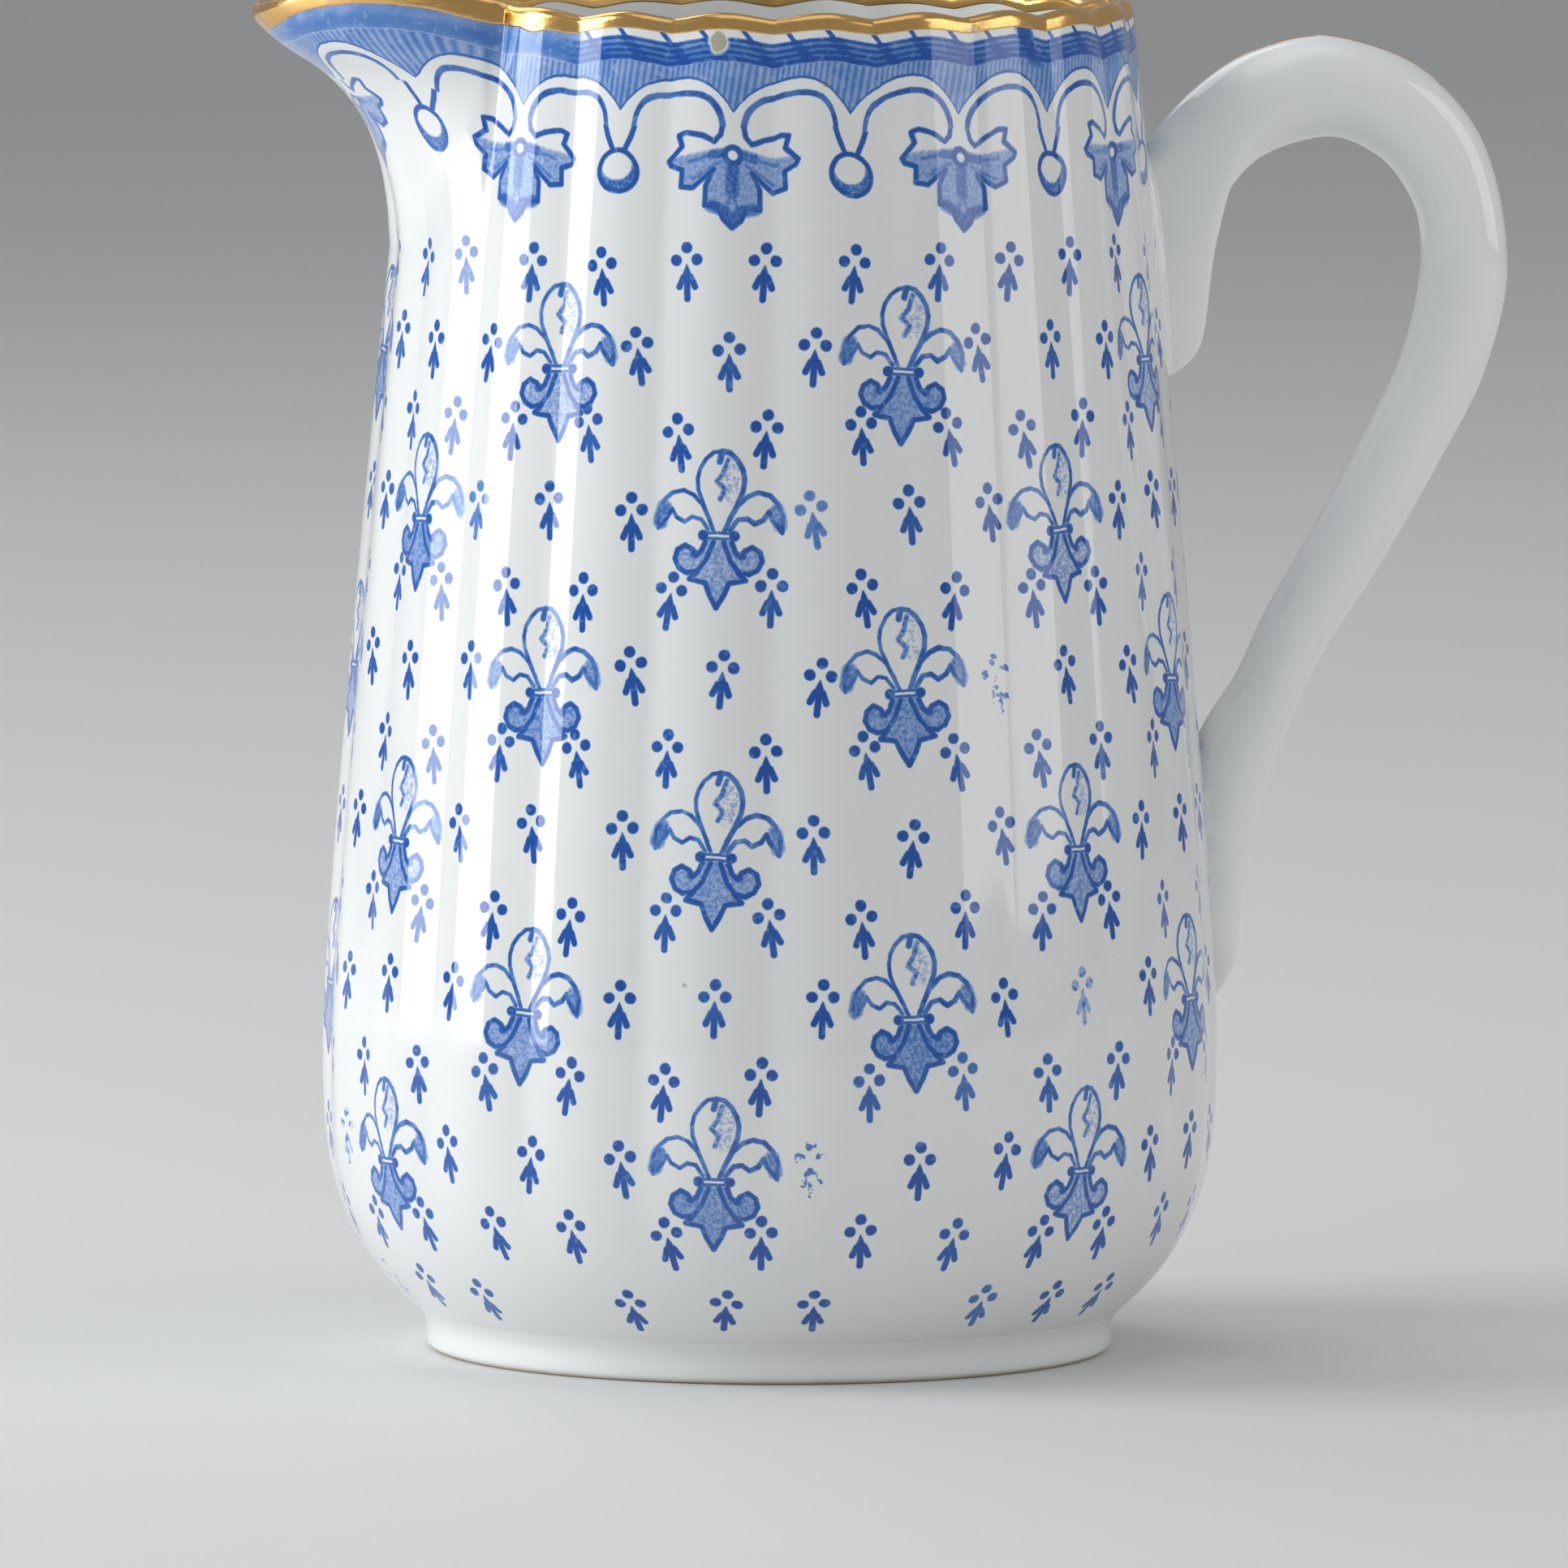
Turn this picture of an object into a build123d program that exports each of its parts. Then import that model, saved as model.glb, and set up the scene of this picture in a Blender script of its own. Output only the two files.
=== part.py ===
from build123d import *
from math import cos, pi, sin
import os

# A small china cream jug: a tall fluted body that tapers to a gilt rim, with a
# pulled pouring lip on one side and a loop handle luted on opposite it.
# Millimetres, +Z up. The origin is the middle of the foot's resting face.
# The lip points along -X and the handle along +X, so +Y runs across the jug.

# Overall sizes of the body
rim_height = 110.0
rim_radius = 29.1
belly_radius = 36.5
belly_height = 26.5
shoulder_power = 1.2
bowl_power = 3.5

# Foot and floor
foot_height = 2.5
foot_radius = 28.2
foot_neck_radius = 27.6
foot_ring_width = 3.3
foot_edge_round = 0.9
floor_thickness = 3.0
floor_corner_radius = 25.5

# Wall
wall_thickness = 2.3

# Flutes round the body: soft lobes that meet in shallow valleys
flute_count = 22
flute_depth = 0.45
flute_start_height = 7.0
flute_full_height = 22.0

# Pouring lip, pulled out of four of the flutes. Each station gives the drop below
# the rim and the share of the reach by which the tip stands out there.
lip_flutes = 4
lip_reach = 13.7
lip_bow_power = 1.6
lip_rise = 2.2
lip_droop = 0.8
lip_headroom = 4.0
lip_stations = [
    (20.0, 0.0),
    (16.5, 0.05),
    (13.0, 0.13),
    (10.0, 0.24),
    (7.5, 0.38),
    (5.5, 0.55),
    (3.6, 0.78),
    (1.5, 0.96),
    (-1.0, 1.05),
    (-lip_headroom, 1.11),
]

# Loop handle: stations from the upper root, round the loop, to the lower root.
# Each gives the inner point and the outer point of the strap, as stand-off from
# the wall and drop below the rim, and the strap's breadth across the jug.
handle_stations = [
    ((-1.0, 32.6), (-1.0, 11.6), 8.6),
    ((3.0, 28.6), (4.1, 7.8), 8.4),
    ((4.2, 22.6), (8.6, 4.8), 8.0),
    ((5.4, 17.6), (12.1, 3.5), 7.6),
    ((8.9, 13.4), (14.7, 3.0), 7.3),
    ((14.6, 11.3), (17.6, 3.2), 7.1),
    ((19.1, 12.6), (23.1, 5.3), 7.0),
    ((21.8, 16.2), (27.8, 10.7), 6.9),
    ((22.2, 21.1), (29.4, 20.4), 6.8),
    ((20.0, 28.7), (26.8, 30.0), 6.6),
    ((16.0, 35.8), (21.6, 38.7), 6.4),
    ((11.0, 43.7), (16.0, 47.0), 6.3),
    ((6.5, 50.5), (11.0, 53.8), 6.3),
    ((3.9, 55.2), (7.9, 59.4), 6.5),
    ((0.6, 59.8), (5.7, 63.8), 6.9),
    ((-1.6, 65.2), (4.0, 68.8), 7.2),
    ((-1.8, 72.0), (2.8, 74.6), 7.0),
    ((-1.9, 77.6), (1.8, 79.6), 5.6),
    ((-2.0, 80.6), (0.3, 81.8), 3.2),
]
slip_thickness = 0.4

# Gilding: bands of fired gold, drawn a little thicker than real gold
gilt_thickness = 0.12
gilt_drop = 1.3
handle_gilt_width = 1.0
handle_gilt_start = 8.0
handle_gilt_end = 28.0
handle_gilt_drop = 7.0

lip_half_angle = lip_flutes * pi / flute_count
floor_top = foot_height + floor_thickness
bowl_shares = [0.0, 0.08, 0.21, 0.40, 0.65]
taper_steps = 6


def bowl_and_taper(height, low_height, low_radius, shift):
    """Radius that swells from the low edge to the belly, then tapers to the rim."""
    if height < belly_height:
        below = (belly_height - height) / (belly_height - low_height)
        return low_radius + (belly_radius + shift - low_radius) * (1 - below**bowl_power)
    above = (height - belly_height) / (rim_height - belly_height)
    return belly_radius + shift - (belly_radius - rim_radius) * above**shoulder_power


def outer_radius(height):
    """Radius of the wall's outside, on top of the flutes."""
    return bowl_and_taper(height, foot_height, foot_neck_radius, 0)


def inner_radius(height):
    """Radius of the smooth inside of the wall."""
    return bowl_and_taper(height, floor_top, floor_corner_radius, -wall_thickness)


def valley_depth(height):
    """Depth of the valleys between flutes, which fade away above the foot."""
    share = (height - flute_start_height) / (flute_full_height - flute_start_height)
    return flute_depth * min(max(share, 0), 1)


def polar(radius, angle, height):
    """Point at an angle from the lip's direction, which is -X."""
    return (-radius * cos(angle), radius * sin(angle), height)


def body_levels():
    """Heights of the body's sections: close together in the bowl, even in the taper."""
    bowl = [foot_height + share * (belly_height - foot_height) for share in bowl_shares]
    step = (rim_height - belly_height) / taper_steps
    taper = [belly_height + k * step for k in range(taper_steps + 1)]
    return bowl + taper + [rim_height + lip_headroom]


def fluted_solid(grow):
    """Solid body with arcs for flutes; grow moves its surface outwards."""
    sections = []
    pitch = 2 * pi / flute_count
    for z in body_levels():
        peak = outer_radius(z) + grow
        valley = peak - valley_depth(z)
        arcs = []
        for k in range(flute_count):
            start = polar(valley, k * pitch, z)
            middle = polar(peak, (k + 0.5) * pitch, z)
            end = polar(valley, (k + 1) * pitch, z)
            arcs.append(ThreePointArc(start, middle, end))
        sections.append(make_face(Wire(arcs)))
    return loft(sections)


def cavity_solid(shrink):
    """Inside of the jug, from its floor up past the rim."""
    levels = [floor_top + share * (belly_height - floor_top) for share in bowl_shares]
    step = (rim_height + lip_headroom - belly_height) / taper_steps
    levels += [belly_height + k * step for k in range(taper_steps + 1)]
    wall = Spline([(inner_radius(z) - shrink, 0, z) for z in levels])
    top = levels[-1]
    floor_line = Line((0, 0, floor_top), wall @ 0)
    top_line = Line(wall @ 1, (0, 0, top))
    axis_line = Line((0, 0, top), (0, 0, floor_top))
    return revolve(make_face([floor_line, wall, top_line, axis_line]), Axis.Z)


def outer_lip_base(height):
    """Outside of the lip where it springs from the valleys of the body."""
    return outer_radius(height) - valley_depth(height)


def lip_bow(angle):
    """Share of the reach at an angle: one at the tip, nothing at the creases."""
    return 1 - (abs(angle) / lip_half_angle) ** lip_bow_power


def lip_solid(base_radius, grow):
    """Wedge of the lip, whose curved side stands out from base_radius."""
    sections = []
    angles = [lip_half_angle * (i / 6 - 1) for i in range(13)]
    for drop, share in lip_stations:
        z = rim_height - drop
        radii = [base_radius(z) + grow + share * lip_reach * lip_bow(angle) for angle in angles]
        points = [polar(radius, angle, z) for radius, angle in zip(radii, angles)]
        bow = Spline(points)
        centre = (0, 0, z)
        sections.append(make_face([bow, Line(bow @ 1, centre), Line(centre, bow @ 0)]))
    return loft(sections)


def above_lip(lift):
    """Everything above the lip's edge in side view; lift raises that edge."""
    crease_x = -rim_radius * cos(lip_half_angle)
    tip_x = -(rim_radius + lip_reach)
    z = rim_height + lift
    edge = Spline(
        [
            (0, 0, z),
            (crease_x, 0, z),
            ((crease_x + tip_x) / 2, 0, z + lip_rise),
            (tip_x, 0, z - lip_droop),
            (tip_x - 4, 0, z - lip_droop - 1),
        ]
    )
    high = rim_height + 2 * lip_headroom
    corner_far = (tip_x - 4, 0, high)
    corner_near = (0, 0, high)
    outline = [edge, Line(edge @ 1, corner_far), Line(corner_far, corner_near), Line(corner_near, edge @ 0)]
    return extrude(make_face(outline), amount=2 * belly_radius, both=True)


def above_rim(lift):
    """Everything above the level rim; lift raises that level."""
    size = 4 * belly_radius
    low = rim_height + lift
    return Pos(0, 0, low) * Box(size, size, 4 * lip_headroom, align=(Align.CENTER, Align.CENTER, Align.MIN))


def one_solid(shape):
    """Largest solid of a result, free of its compound."""
    return max(shape.solids(), key=lambda solid: solid.volume)


def handle_solid(grow):
    """Strap handle lofted through oval sections; grow fattens it all round. It turns
    through more than half a circle, so it is three lofts that share an end section."""
    sections = []
    for inner, outer, breadth in handle_stations:
        ends = []
        for stand_off, drop in (inner, outer):
            height = rim_height - drop
            ends.append(Vector(outer_radius(height) + stand_off, 0, height))
        across = ends[1] - ends[0]
        plane = Plane(origin=(ends[0] + ends[1]) / 2, x_dir=across, z_dir=across.cross(Vector(0, 1, 0)))
        sections.append(plane * Ellipse(across.length / 2 + grow, breadth / 2 + grow))
    stretches = [sections[:7], sections[6:13], sections[12:]]
    arch, tail, terminal = [loft(stretch) for stretch in stretches]
    return one_solid(arch + tail + terminal)


def make_foot_ring():
    """Turned foot: a low ring with a rounded tread."""
    low_inner = foot_radius - foot_ring_width
    high_inner = foot_neck_radius - foot_ring_width
    corners = [(low_inner, 0), (foot_radius, 0), (foot_neck_radius, foot_height), (high_inner, foot_height)]
    profile = make_face(Polyline([(x, 0, z) for x, z in corners], close=True))
    ring = revolve(profile, Axis.Z)
    tread = ring.edges().filter_by(GeomType.CIRCLE).group_by(Axis.Z)[0]
    return fillet(tread, min(foot_edge_round, foot_ring_width / 3, foot_height / 2))


def make_floor():
    """Round bat of clay that closes the body above the foot."""
    radius = foot_neck_radius - foot_ring_width
    low = Align.MIN
    return Pos(0, 0, foot_height) * Cylinder(radius, floor_thickness, align=(Align.CENTER, Align.CENTER, low))


def make_rim_gilding(zone):
    """Gold over the rim: a thin sleeve of the wall's top, less the wall itself."""
    slab = above_rim(-gilt_drop) - above_rim(gilt_thickness)
    sleeve = (fluted_solid(gilt_thickness) & slab) - cavity_solid(gilt_thickness)
    wall_top = (fluted_solid(0) & (above_rim(-2 * gilt_drop) - above_rim(0))) - cavity_solid(0)
    return one_solid(sleeve - wall_top - zone)


def make_lip_gilding(lip):
    """Gold over the edge of the lip, which carries the rim's band round it."""
    sleeve = lip_solid(outer_lip_base, gilt_thickness) - lip_solid(inner_radius, -gilt_thickness)
    band = (sleeve - above_lip(gilt_thickness)) & above_lip(-gilt_drop)
    return one_solid(band - lip)


def make_handle_gilding(strap):
    """Worn line of gold along the top of the handle's spine."""
    length = handle_gilt_end - handle_gilt_start
    middle = outer_radius(rim_height - handle_gilt_drop) + (handle_gilt_start + handle_gilt_end) / 2
    low = (Align.CENTER, Align.CENTER, Align.MIN)
    zone = Pos(middle, 0, rim_height - handle_gilt_drop) * Box(length, handle_gilt_width, rim_height, align=low)
    return one_solid((handle_solid(gilt_thickness) & zone) - strap)


body_block = fluted_solid(0)
slip_block = fluted_solid(slip_thickness)
cavity = cavity_solid(0)
lip_zone = lip_solid(lambda z: 3 * belly_radius, 0)

floor = make_floor()
body_wall = one_solid(body_block - above_rim(0) - cavity - floor - lip_zone)
lip_block = lip_solid(outer_lip_base, 0) - lip_solid(inner_radius, 0)
pouring_lip = one_solid(lip_block - above_lip(0))

strap = handle_solid(0)
handle = one_solid(strap - slip_block)
pads = sorted(((strap & slip_block) - body_block).solids(), key=lambda pad: pad.center().Z)

nodes = {
    "body_wall": body_wall,
    "base_floor": floor,
    "foot_ring": make_foot_ring(),
    "pouring_lip": pouring_lip,
    "loop_handle": handle,
    "upper_slip_joint": pads[-1],
    "lower_slip_joint": pads[0],
    "rim_gilding": make_rim_gilding(lip_zone),
    "lip_gilding": make_lip_gilding(pouring_lip),
    "handle_gilding": make_handle_gilding(strap),
}
os.makedirs("parts", exist_ok=True)
for name, shape in nodes.items():
    shape.label = name
    export_step(shape, f"parts/{name}.step")
    print(name, round(shape.volume, 1))
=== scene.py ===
import math

import bpy
import numpy as np
from bpy.props import FloatProperty, FloatVectorProperty, IntProperty, PointerProperty
from bpy.types import Operator, Panel, PropertyGroup
from mathutils import Matrix, Vector


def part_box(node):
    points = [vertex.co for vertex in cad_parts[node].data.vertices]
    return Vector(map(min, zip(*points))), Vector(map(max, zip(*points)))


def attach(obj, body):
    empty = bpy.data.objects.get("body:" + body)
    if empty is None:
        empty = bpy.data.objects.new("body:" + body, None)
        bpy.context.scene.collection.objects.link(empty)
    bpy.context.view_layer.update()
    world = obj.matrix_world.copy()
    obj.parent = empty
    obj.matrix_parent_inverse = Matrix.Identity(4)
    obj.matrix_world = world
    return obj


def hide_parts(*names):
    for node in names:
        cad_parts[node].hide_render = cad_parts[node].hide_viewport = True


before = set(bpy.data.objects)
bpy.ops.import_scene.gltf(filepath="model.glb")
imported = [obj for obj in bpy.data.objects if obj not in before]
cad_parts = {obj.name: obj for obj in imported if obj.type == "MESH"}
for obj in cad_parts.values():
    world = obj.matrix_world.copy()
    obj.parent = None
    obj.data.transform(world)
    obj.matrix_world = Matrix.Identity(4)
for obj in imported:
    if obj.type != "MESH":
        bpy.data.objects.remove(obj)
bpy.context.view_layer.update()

bl_info = {
    "name": "China cream jug",
    "version": (1, 0, 0),
    "blender": (4, 5, 0),
    "location": "3D View > Sidebar > China jug",
    "description": "Builds a fluted china cream jug with a blue print and a gilt rim",
    "category": "Add Mesh",
}

MM = 0.001
TAU = 2 * math.pi

# The lip's tip stands out by these shares of the reach, at these drops below the rim (mm).
LIP_DROPS = [-4.0, -1.0, 1.5, 3.6, 5.5, 7.5, 10.0, 13.0, 16.5, 20.0]
LIP_SHARES = [1.10, 1.04, 0.96, 0.78, 0.55, 0.38, 0.24, 0.13, 0.05, 0.0]

# The rim's rise over the lip (mm), at these angles from its tip (degrees).
EDGE_ANGLES = [0.0, 6.0, 12.0, 18.0, 25.0, 32.0, 40.0, 48.0]
EDGE_RISES = [-0.8, 0.1, 1.4, 2.1, 1.9, 0.7, 0.1, 0.0]

# Handle stations from the upper root to the lower one: the strap's inner and outer
# points as stand-off from the wall and drop below the rim, and its breadth (mm).
HANDLE_STATIONS = [
    (-1.0, 31.7, -1.0, 13.4, 8.6),
    (3.1, 28.5, 3.7, 8.2, 8.4),
    (4.2, 22.6, 8.6, 4.8, 8.0),
    (5.4, 17.6, 12.1, 3.5, 7.6),
    (8.9, 13.4, 14.7, 3.0, 7.3),
    (14.6, 11.3, 17.6, 3.2, 7.1),
    (19.1, 12.6, 23.1, 5.3, 7.0),
    (21.8, 16.2, 27.8, 10.7, 6.9),
    (22.2, 21.1, 29.4, 20.4, 6.8),
    (20.0, 28.7, 26.8, 30.0, 6.6),
    (16.0, 35.8, 21.6, 38.7, 6.4),
    (11.0, 43.7, 16.0, 47.0, 6.3),
    (6.5, 50.5, 11.0, 53.8, 6.3),
    (3.9, 55.2, 7.9, 59.4, 6.5),
    (0.6, 59.8, 5.7, 63.8, 6.9),
    (-1.6, 65.2, 4.0, 68.8, 7.2),
    (-1.8, 72.0, 2.8, 74.6, 7.0),
    (-1.9, 77.6, 1.8, 79.6, 5.6),
    (-2.0, 80.6, 0.3, 81.8, 3.2),
]

# The print and edge maps hold millimetres over this span; a height or a distance below
# the rim that is out of sight of the print is set to one of the next two.
MAP_SPAN = 100.0
UNDER_PRINT = -300.0
OFF_EDGE = -50.0

# Fixed colours of the glaze's faults and of the floor's mottling.
CLOUD_TINT = (0.975, 0.985, 0.97, 1.0)
IRON_SPECK = (0.17, 0.13, 0.09, 1.0)
GROUND_SHADE = (0.55, 0.55, 0.56, 1.0)

# Outlines of the printed motifs, in millimetres. Each is one side, which is mirrored.
# The lily's are across and up from the middle of its tie.
LILY_TOP = [
    (0, 6.75), (0.65, 6.6), (1.25, 6.05), (1.7, 5.3), (1.88, 4.5), (1.8, 3.6), (1.4, 2.6),
    (0.4, 0.3),
]
LILY_OVER = [
    (0.75, 1.2), (1.4, 2.45), (2.2, 3.2), (3.0, 3.5), (3.9, 3.3), (4.6, 2.65), (5.05, 1.7),
    (5.0, 0.4),
]
LILY_BENEATH = [
    (5.0, 0.4), (4.2, 1.35), (3.9, 2.0), (3.5, 1.35), (2.8, 1.0), (2.2, 1.45), (1.5, 1.3),
    (0.9, 0.5),
]
LILY_SCROLL = [
    (1.05, -0.5), (1.35, -1.25), (1.8, -1.65), (2.1, -1.15), (2.7, -0.85), (3.3, -1.25),
    (3.5, -1.95),
]
LILY_CURL = [(3.5, -1.95), (3.15, -2.65), (2.5, -3.0), (1.7, -2.85), (1.0, -2.0), (0.4, -0.5)]
LILY_TAIL = [(1.6, -2.85), (2.25, -3.5), (0.95, -3.75), (0.55, -4.75), (0.0, -5.7)]
# The tail's half width at distances below the top of the fill.
LILY_TAIL_WIDTHS = [
    (0, 0.3), (1.3, 0.85), (2.5, 1.7), (3.1, 2.1), (3.35, 0.95), (4.3, 0.5), (5.3, 0.02),
]

# The leaf's are across and down from the rim.
LEAF_HOOK = [
    (0.85, 9.35), (1.0, 10.1), (1.5, 10.6), (2.4, 10.1), (3.8, 9.65), (4.4, 9.8), (4.15, 10.7),
]
LEAF_WING = [
    (4.15, 10.7), (5.2, 11.75), (5.0, 12.15), (4.1, 12.6), (4.2, 13.9), (3.2, 14.15),
    (1.5, 12.85),
]
LEAF_BLADE = [(1.5, 12.85), (2.15, 14.1), (2.2, 15.7), (1.15, 15.85), (0.7, 16.8), (0.0, 17.5)]
# The wing's lower edge at distances across, and the blade's half width going down.
LEAF_WING_DEPTHS = [
    (0, 12.6), (1.5, 12.9), (2.4, 13.6), (3.2, 14.1), (4.05, 13.9), (4.25, 12.6), (5.2, 11.9),
]
LEAF_BLADE_WIDTHS = [
    (0, 1.1), (0.9, 1.5), (2.1, 2.1), (3.65, 2.15), (3.9, 1.15), (4.8, 0.7), (5.5, 0.02),
]

# How far the gold has rubbed off the rim and the handle, as a share.
RIM_WEAR = 0.22
HANDLE_WEAR = 0.62

# Softboxes: azimuth and elevation (degrees, zero is the camera's side), distance, width
# and height (m), power (W), colour, and whether the glaze mirrors the lamp.
DAYLIGHT = (0.94, 0.97, 1.0)
WHITE = (1.0, 1.0, 1.0)
SOFTBOXES = {
    "window_left": (-94, 16, 0.90, 0.50, 0.95, 7.5, DAYLIGHT, True),
    "key_front": (-50, 24, 1.3, 0.7, 0.7, 2.4, WHITE, False),
    "fill_right": (64, 20, 1.3, 0.8, 0.9, 3.4, WHITE, True),
    "back_left": (-150, 42, 1.3, 0.8, 0.8, 3.0, WHITE, True),
    "top": (10, 80, 1.2, 0.9, 0.9, 1.6, WHITE, True),
}
LIGHT_AIM_HEIGHT = 0.055
SKY = (0.80, 0.82, 0.84, 1.0)
SKY_STRENGTH = 0.40

# Camera: place round the jug, aim and roll (degrees and metres), and lens (mm).
CAMERA_AZIMUTH = 8.2
CAMERA_ELEVATION = 4.853
CAMERA_DISTANCE = 1.5168
CAMERA_ROLL = 0.234
CAMERA_AIM_HEIGHT = 0.04608
CAMERA_AIM_RIGHT = 0.00107
CAMERA_LENS = 427.25


def low_corner(node):
    """Lowest corner of a CAD node's box."""
    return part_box(node)[0]


def high_corner(node):
    """Highest corner of a CAD node's box."""
    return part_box(node)[1]


def length(name, description, default):
    """A size in metres that a user can change."""
    return FloatProperty(
        name=name, description=description, default=default, unit="LENGTH", precision=5
    )


def whole_number(name, description, default, least):
    """A whole number that a user can change."""
    return IntProperty(name=name, description=description, default=default, min=least)


def colour(name, description, default):
    """A linear colour that a user can change."""
    return FloatVectorProperty(
        name=name, description=description, default=default, size=3, subtype="COLOR", min=0, max=1
    )


class JugShape(PropertyGroup):
    """Sizes of the jug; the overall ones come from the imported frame."""

    rim_height: length("Rim height", "Height of the level rim", high_corner("body_wall").z)
    rim_radius: length("Rim radius", "Outside radius at the rim, on the flutes", 29.1 * MM)
    belly_radius: length("Belly radius", "Largest outside radius of the body", 36.5 * MM)
    belly_height: length("Belly height", "Height of the largest radius", 26.5 * MM)
    neck_radius: length("Neck radius", "Radius where the body meets the foot", 27.6 * MM)
    foot_height: length("Foot height", "Height of the foot ring", high_corner("foot_ring").z)
    floor_top: length("Floor height", "Height of the floor inside", high_corner("base_floor").z)
    wall: length("Wall", "Thickness of the wall", 2.3 * MM)
    rim_wall: length("Rim thickness", "Thickness of the wall at the rim", 1.6 * MM)
    flute_count: whole_number("Flutes", "Number of flutes round the body", 22, 3)
    flute_depth: length("Flute depth", "Depth of the valleys between flutes", 0.45 * MM)
    rim_wave: length("Rim wave", "Height of the rim's wave over each flute", 0.22 * MM)
    lip_flutes: whole_number("Lip flutes", "Flutes that the lip takes up", 4, 2)
    lip_reach: length("Lip reach", "How far the lip stands out of the wall", 13.7 * MM)
    slip_reach: length("Slip reach", "Reach of the slip fillets at the handle's roots", 0.9 * MM)
    gilt_drop: length("Gilt drop", "Depth of the gilt band below the rim", 0.95 * MM)
    gilt_film: length("Gilt film", "Thickness of the gilding", 0.02 * MM)


class JugColours(PropertyGroup):
    """Colours of the china, the print and the gold."""

    china: colour("China", "White of the printed china under its glaze", (0.80, 0.815, 0.80))
    # Painted light: this white is lighter than the printed body's china and stands in for the brighter
    # light that falls on the handle and slip.
    china_painted_lighter: colour("China, plain", "White of the handle, which took no print", (0.87, 0.88, 0.87))
    ink_light: colour("Ink, thin", "Blue of a thin wash of print", (0.27, 0.39, 0.68))
    ink_middle: colour("Ink, middle", "Blue of the print's shading", (0.065, 0.20, 0.52))
    ink_dark: colour("Ink, full", "Blue of the print's full lines", (0.005, 0.074, 0.37))
    flaw: colour("Flaw", "Bare patch where the print's glaze crept", (0.42, 0.41, 0.30))
    biscuit: colour("Biscuit", "Unglazed china on the tread of the foot", (0.62, 0.56, 0.47))
    gold: colour("Gold", "Fired gold", (0.83, 0.50, 0.17))
    gold_worn: colour("Worn gold", "Gold that has rubbed thin", (0.60, 0.46, 0.30))
    ground: colour("Floor", "Pale studio floor", (0.74, 0.74, 0.73))


def smooth_curve(at, places, values):
    """Cubic Hermite curve through the points, with each slope taken from its neighbours."""
    places = np.asarray(places, float)
    values = np.asarray(values, float)
    slopes = np.gradient(values, places)
    at = np.clip(at, places[0], places[-1])
    k = np.clip(np.searchsorted(places, at, side="right") - 1, 0, len(places) - 2)
    span = places[k + 1] - places[k]
    t = (at - places[k]) / span
    start = (1 + 2 * t) * (1 - t) ** 2 * values[k] + t * (1 - t) ** 2 * span * slopes[k]
    end = t * t * (3 - 2 * t) * values[k + 1] + t * t * (t - 1) * span * slopes[k + 1]
    return start + end


def ramp(low, high, x):
    """Smooth step from zero at low to one at high."""
    t = np.clip((x - low) / (high - low), 0, 1)
    return t * t * (3 - 2 * t)


def swell_and_taper(shape, z, low_height, low_radius, shift):
    """Radius that swells by a power law up to the belly, then tapers to the rim."""
    belly = shape.belly_radius + shift
    below = np.clip((shape.belly_height - z) / (shape.belly_height - low_height), 0, 1)
    above = np.clip((z - shape.belly_height) / (shape.rim_height - shape.belly_height), 0, None)
    bowl = low_radius + (belly - low_radius) * (1 - below**3.5)
    taper = belly - (shape.belly_radius - shape.rim_radius) * above**1.2
    return np.where(z < shape.belly_height, bowl, taper)


def outer_radius(shape, z):
    """Outside radius on top of the flutes."""
    return swell_and_taper(shape, z, shape.foot_height, shape.neck_radius, 0.0)


def lip_angle(phi):
    """Angle from the lip's tip, from zero to half a turn."""
    return np.abs((phi + math.pi) % TAU - math.pi)


def lip_half_angle(shape):
    """Angle from the lip's tip to its creases."""
    return shape.lip_flutes * math.pi / shape.flute_count


def lip_bow(shape, phi):
    """Share of the lip's reach at an angle: one at the tip, nothing past the creases."""
    return np.clip(1 - (lip_angle(phi) / lip_half_angle(shape)) ** 1.6, 0, 1)


def flute_valley(shape, phi):
    """One in the valleys, nothing on the lobes: half parabola, half cosine."""
    place = phi * shape.flute_count / TAU
    q = 2 * np.abs(place - np.round(place))
    return 0.5 * (1 - q) ** 2 + 0.25 * (1 + np.cos(math.pi * q))


def wall_radius(shape, phi, z, flutes=1.0):
    """Radius of the wall at an angle and height: taper, less the flutes, plus the lip.
    The flutes fade towards the foot and where the wall swells into the lip."""
    drop = (shape.rim_height - z) / MM
    near_lip = ramp(0.0, 12 * MM, z - (shape.rim_height - 18 * MM)) * (lip_bow(shape, phi) > 0)
    lip_fade = 0.85
    flutes_begin, flutes_full = 6 * MM, 24 * MM
    depth = shape.flute_depth * ramp(flutes_begin, flutes_full, z) * (1 - near_lip * lip_fade)
    reach = shape.lip_reach * smooth_curve(drop, LIP_DROPS, LIP_SHARES) * lip_bow(shape, phi)
    return outer_radius(shape, z) - flutes * depth * flute_valley(shape, phi) + reach


def rim_line(shape, phi):
    """Height of the rim: a small wave over the flutes and the rise over the lip."""
    rise = smooth_curve(np.degrees(lip_angle(phi)), EDGE_ANGLES, EDGE_RISES) * MM
    wave = shape.rim_wave * (1 - 2 * flute_valley(shape, phi)) * ramp(0.5, 0.7, lip_angle(phi))
    return shape.rim_height + rise + wave


def place(radius, phi, z):
    """Points from radius, angle and height: the lip is at -X, and angles go towards -Y."""
    return np.stack([-radius * np.cos(phi), -radius * np.sin(phi), z], axis=-1)


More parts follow.
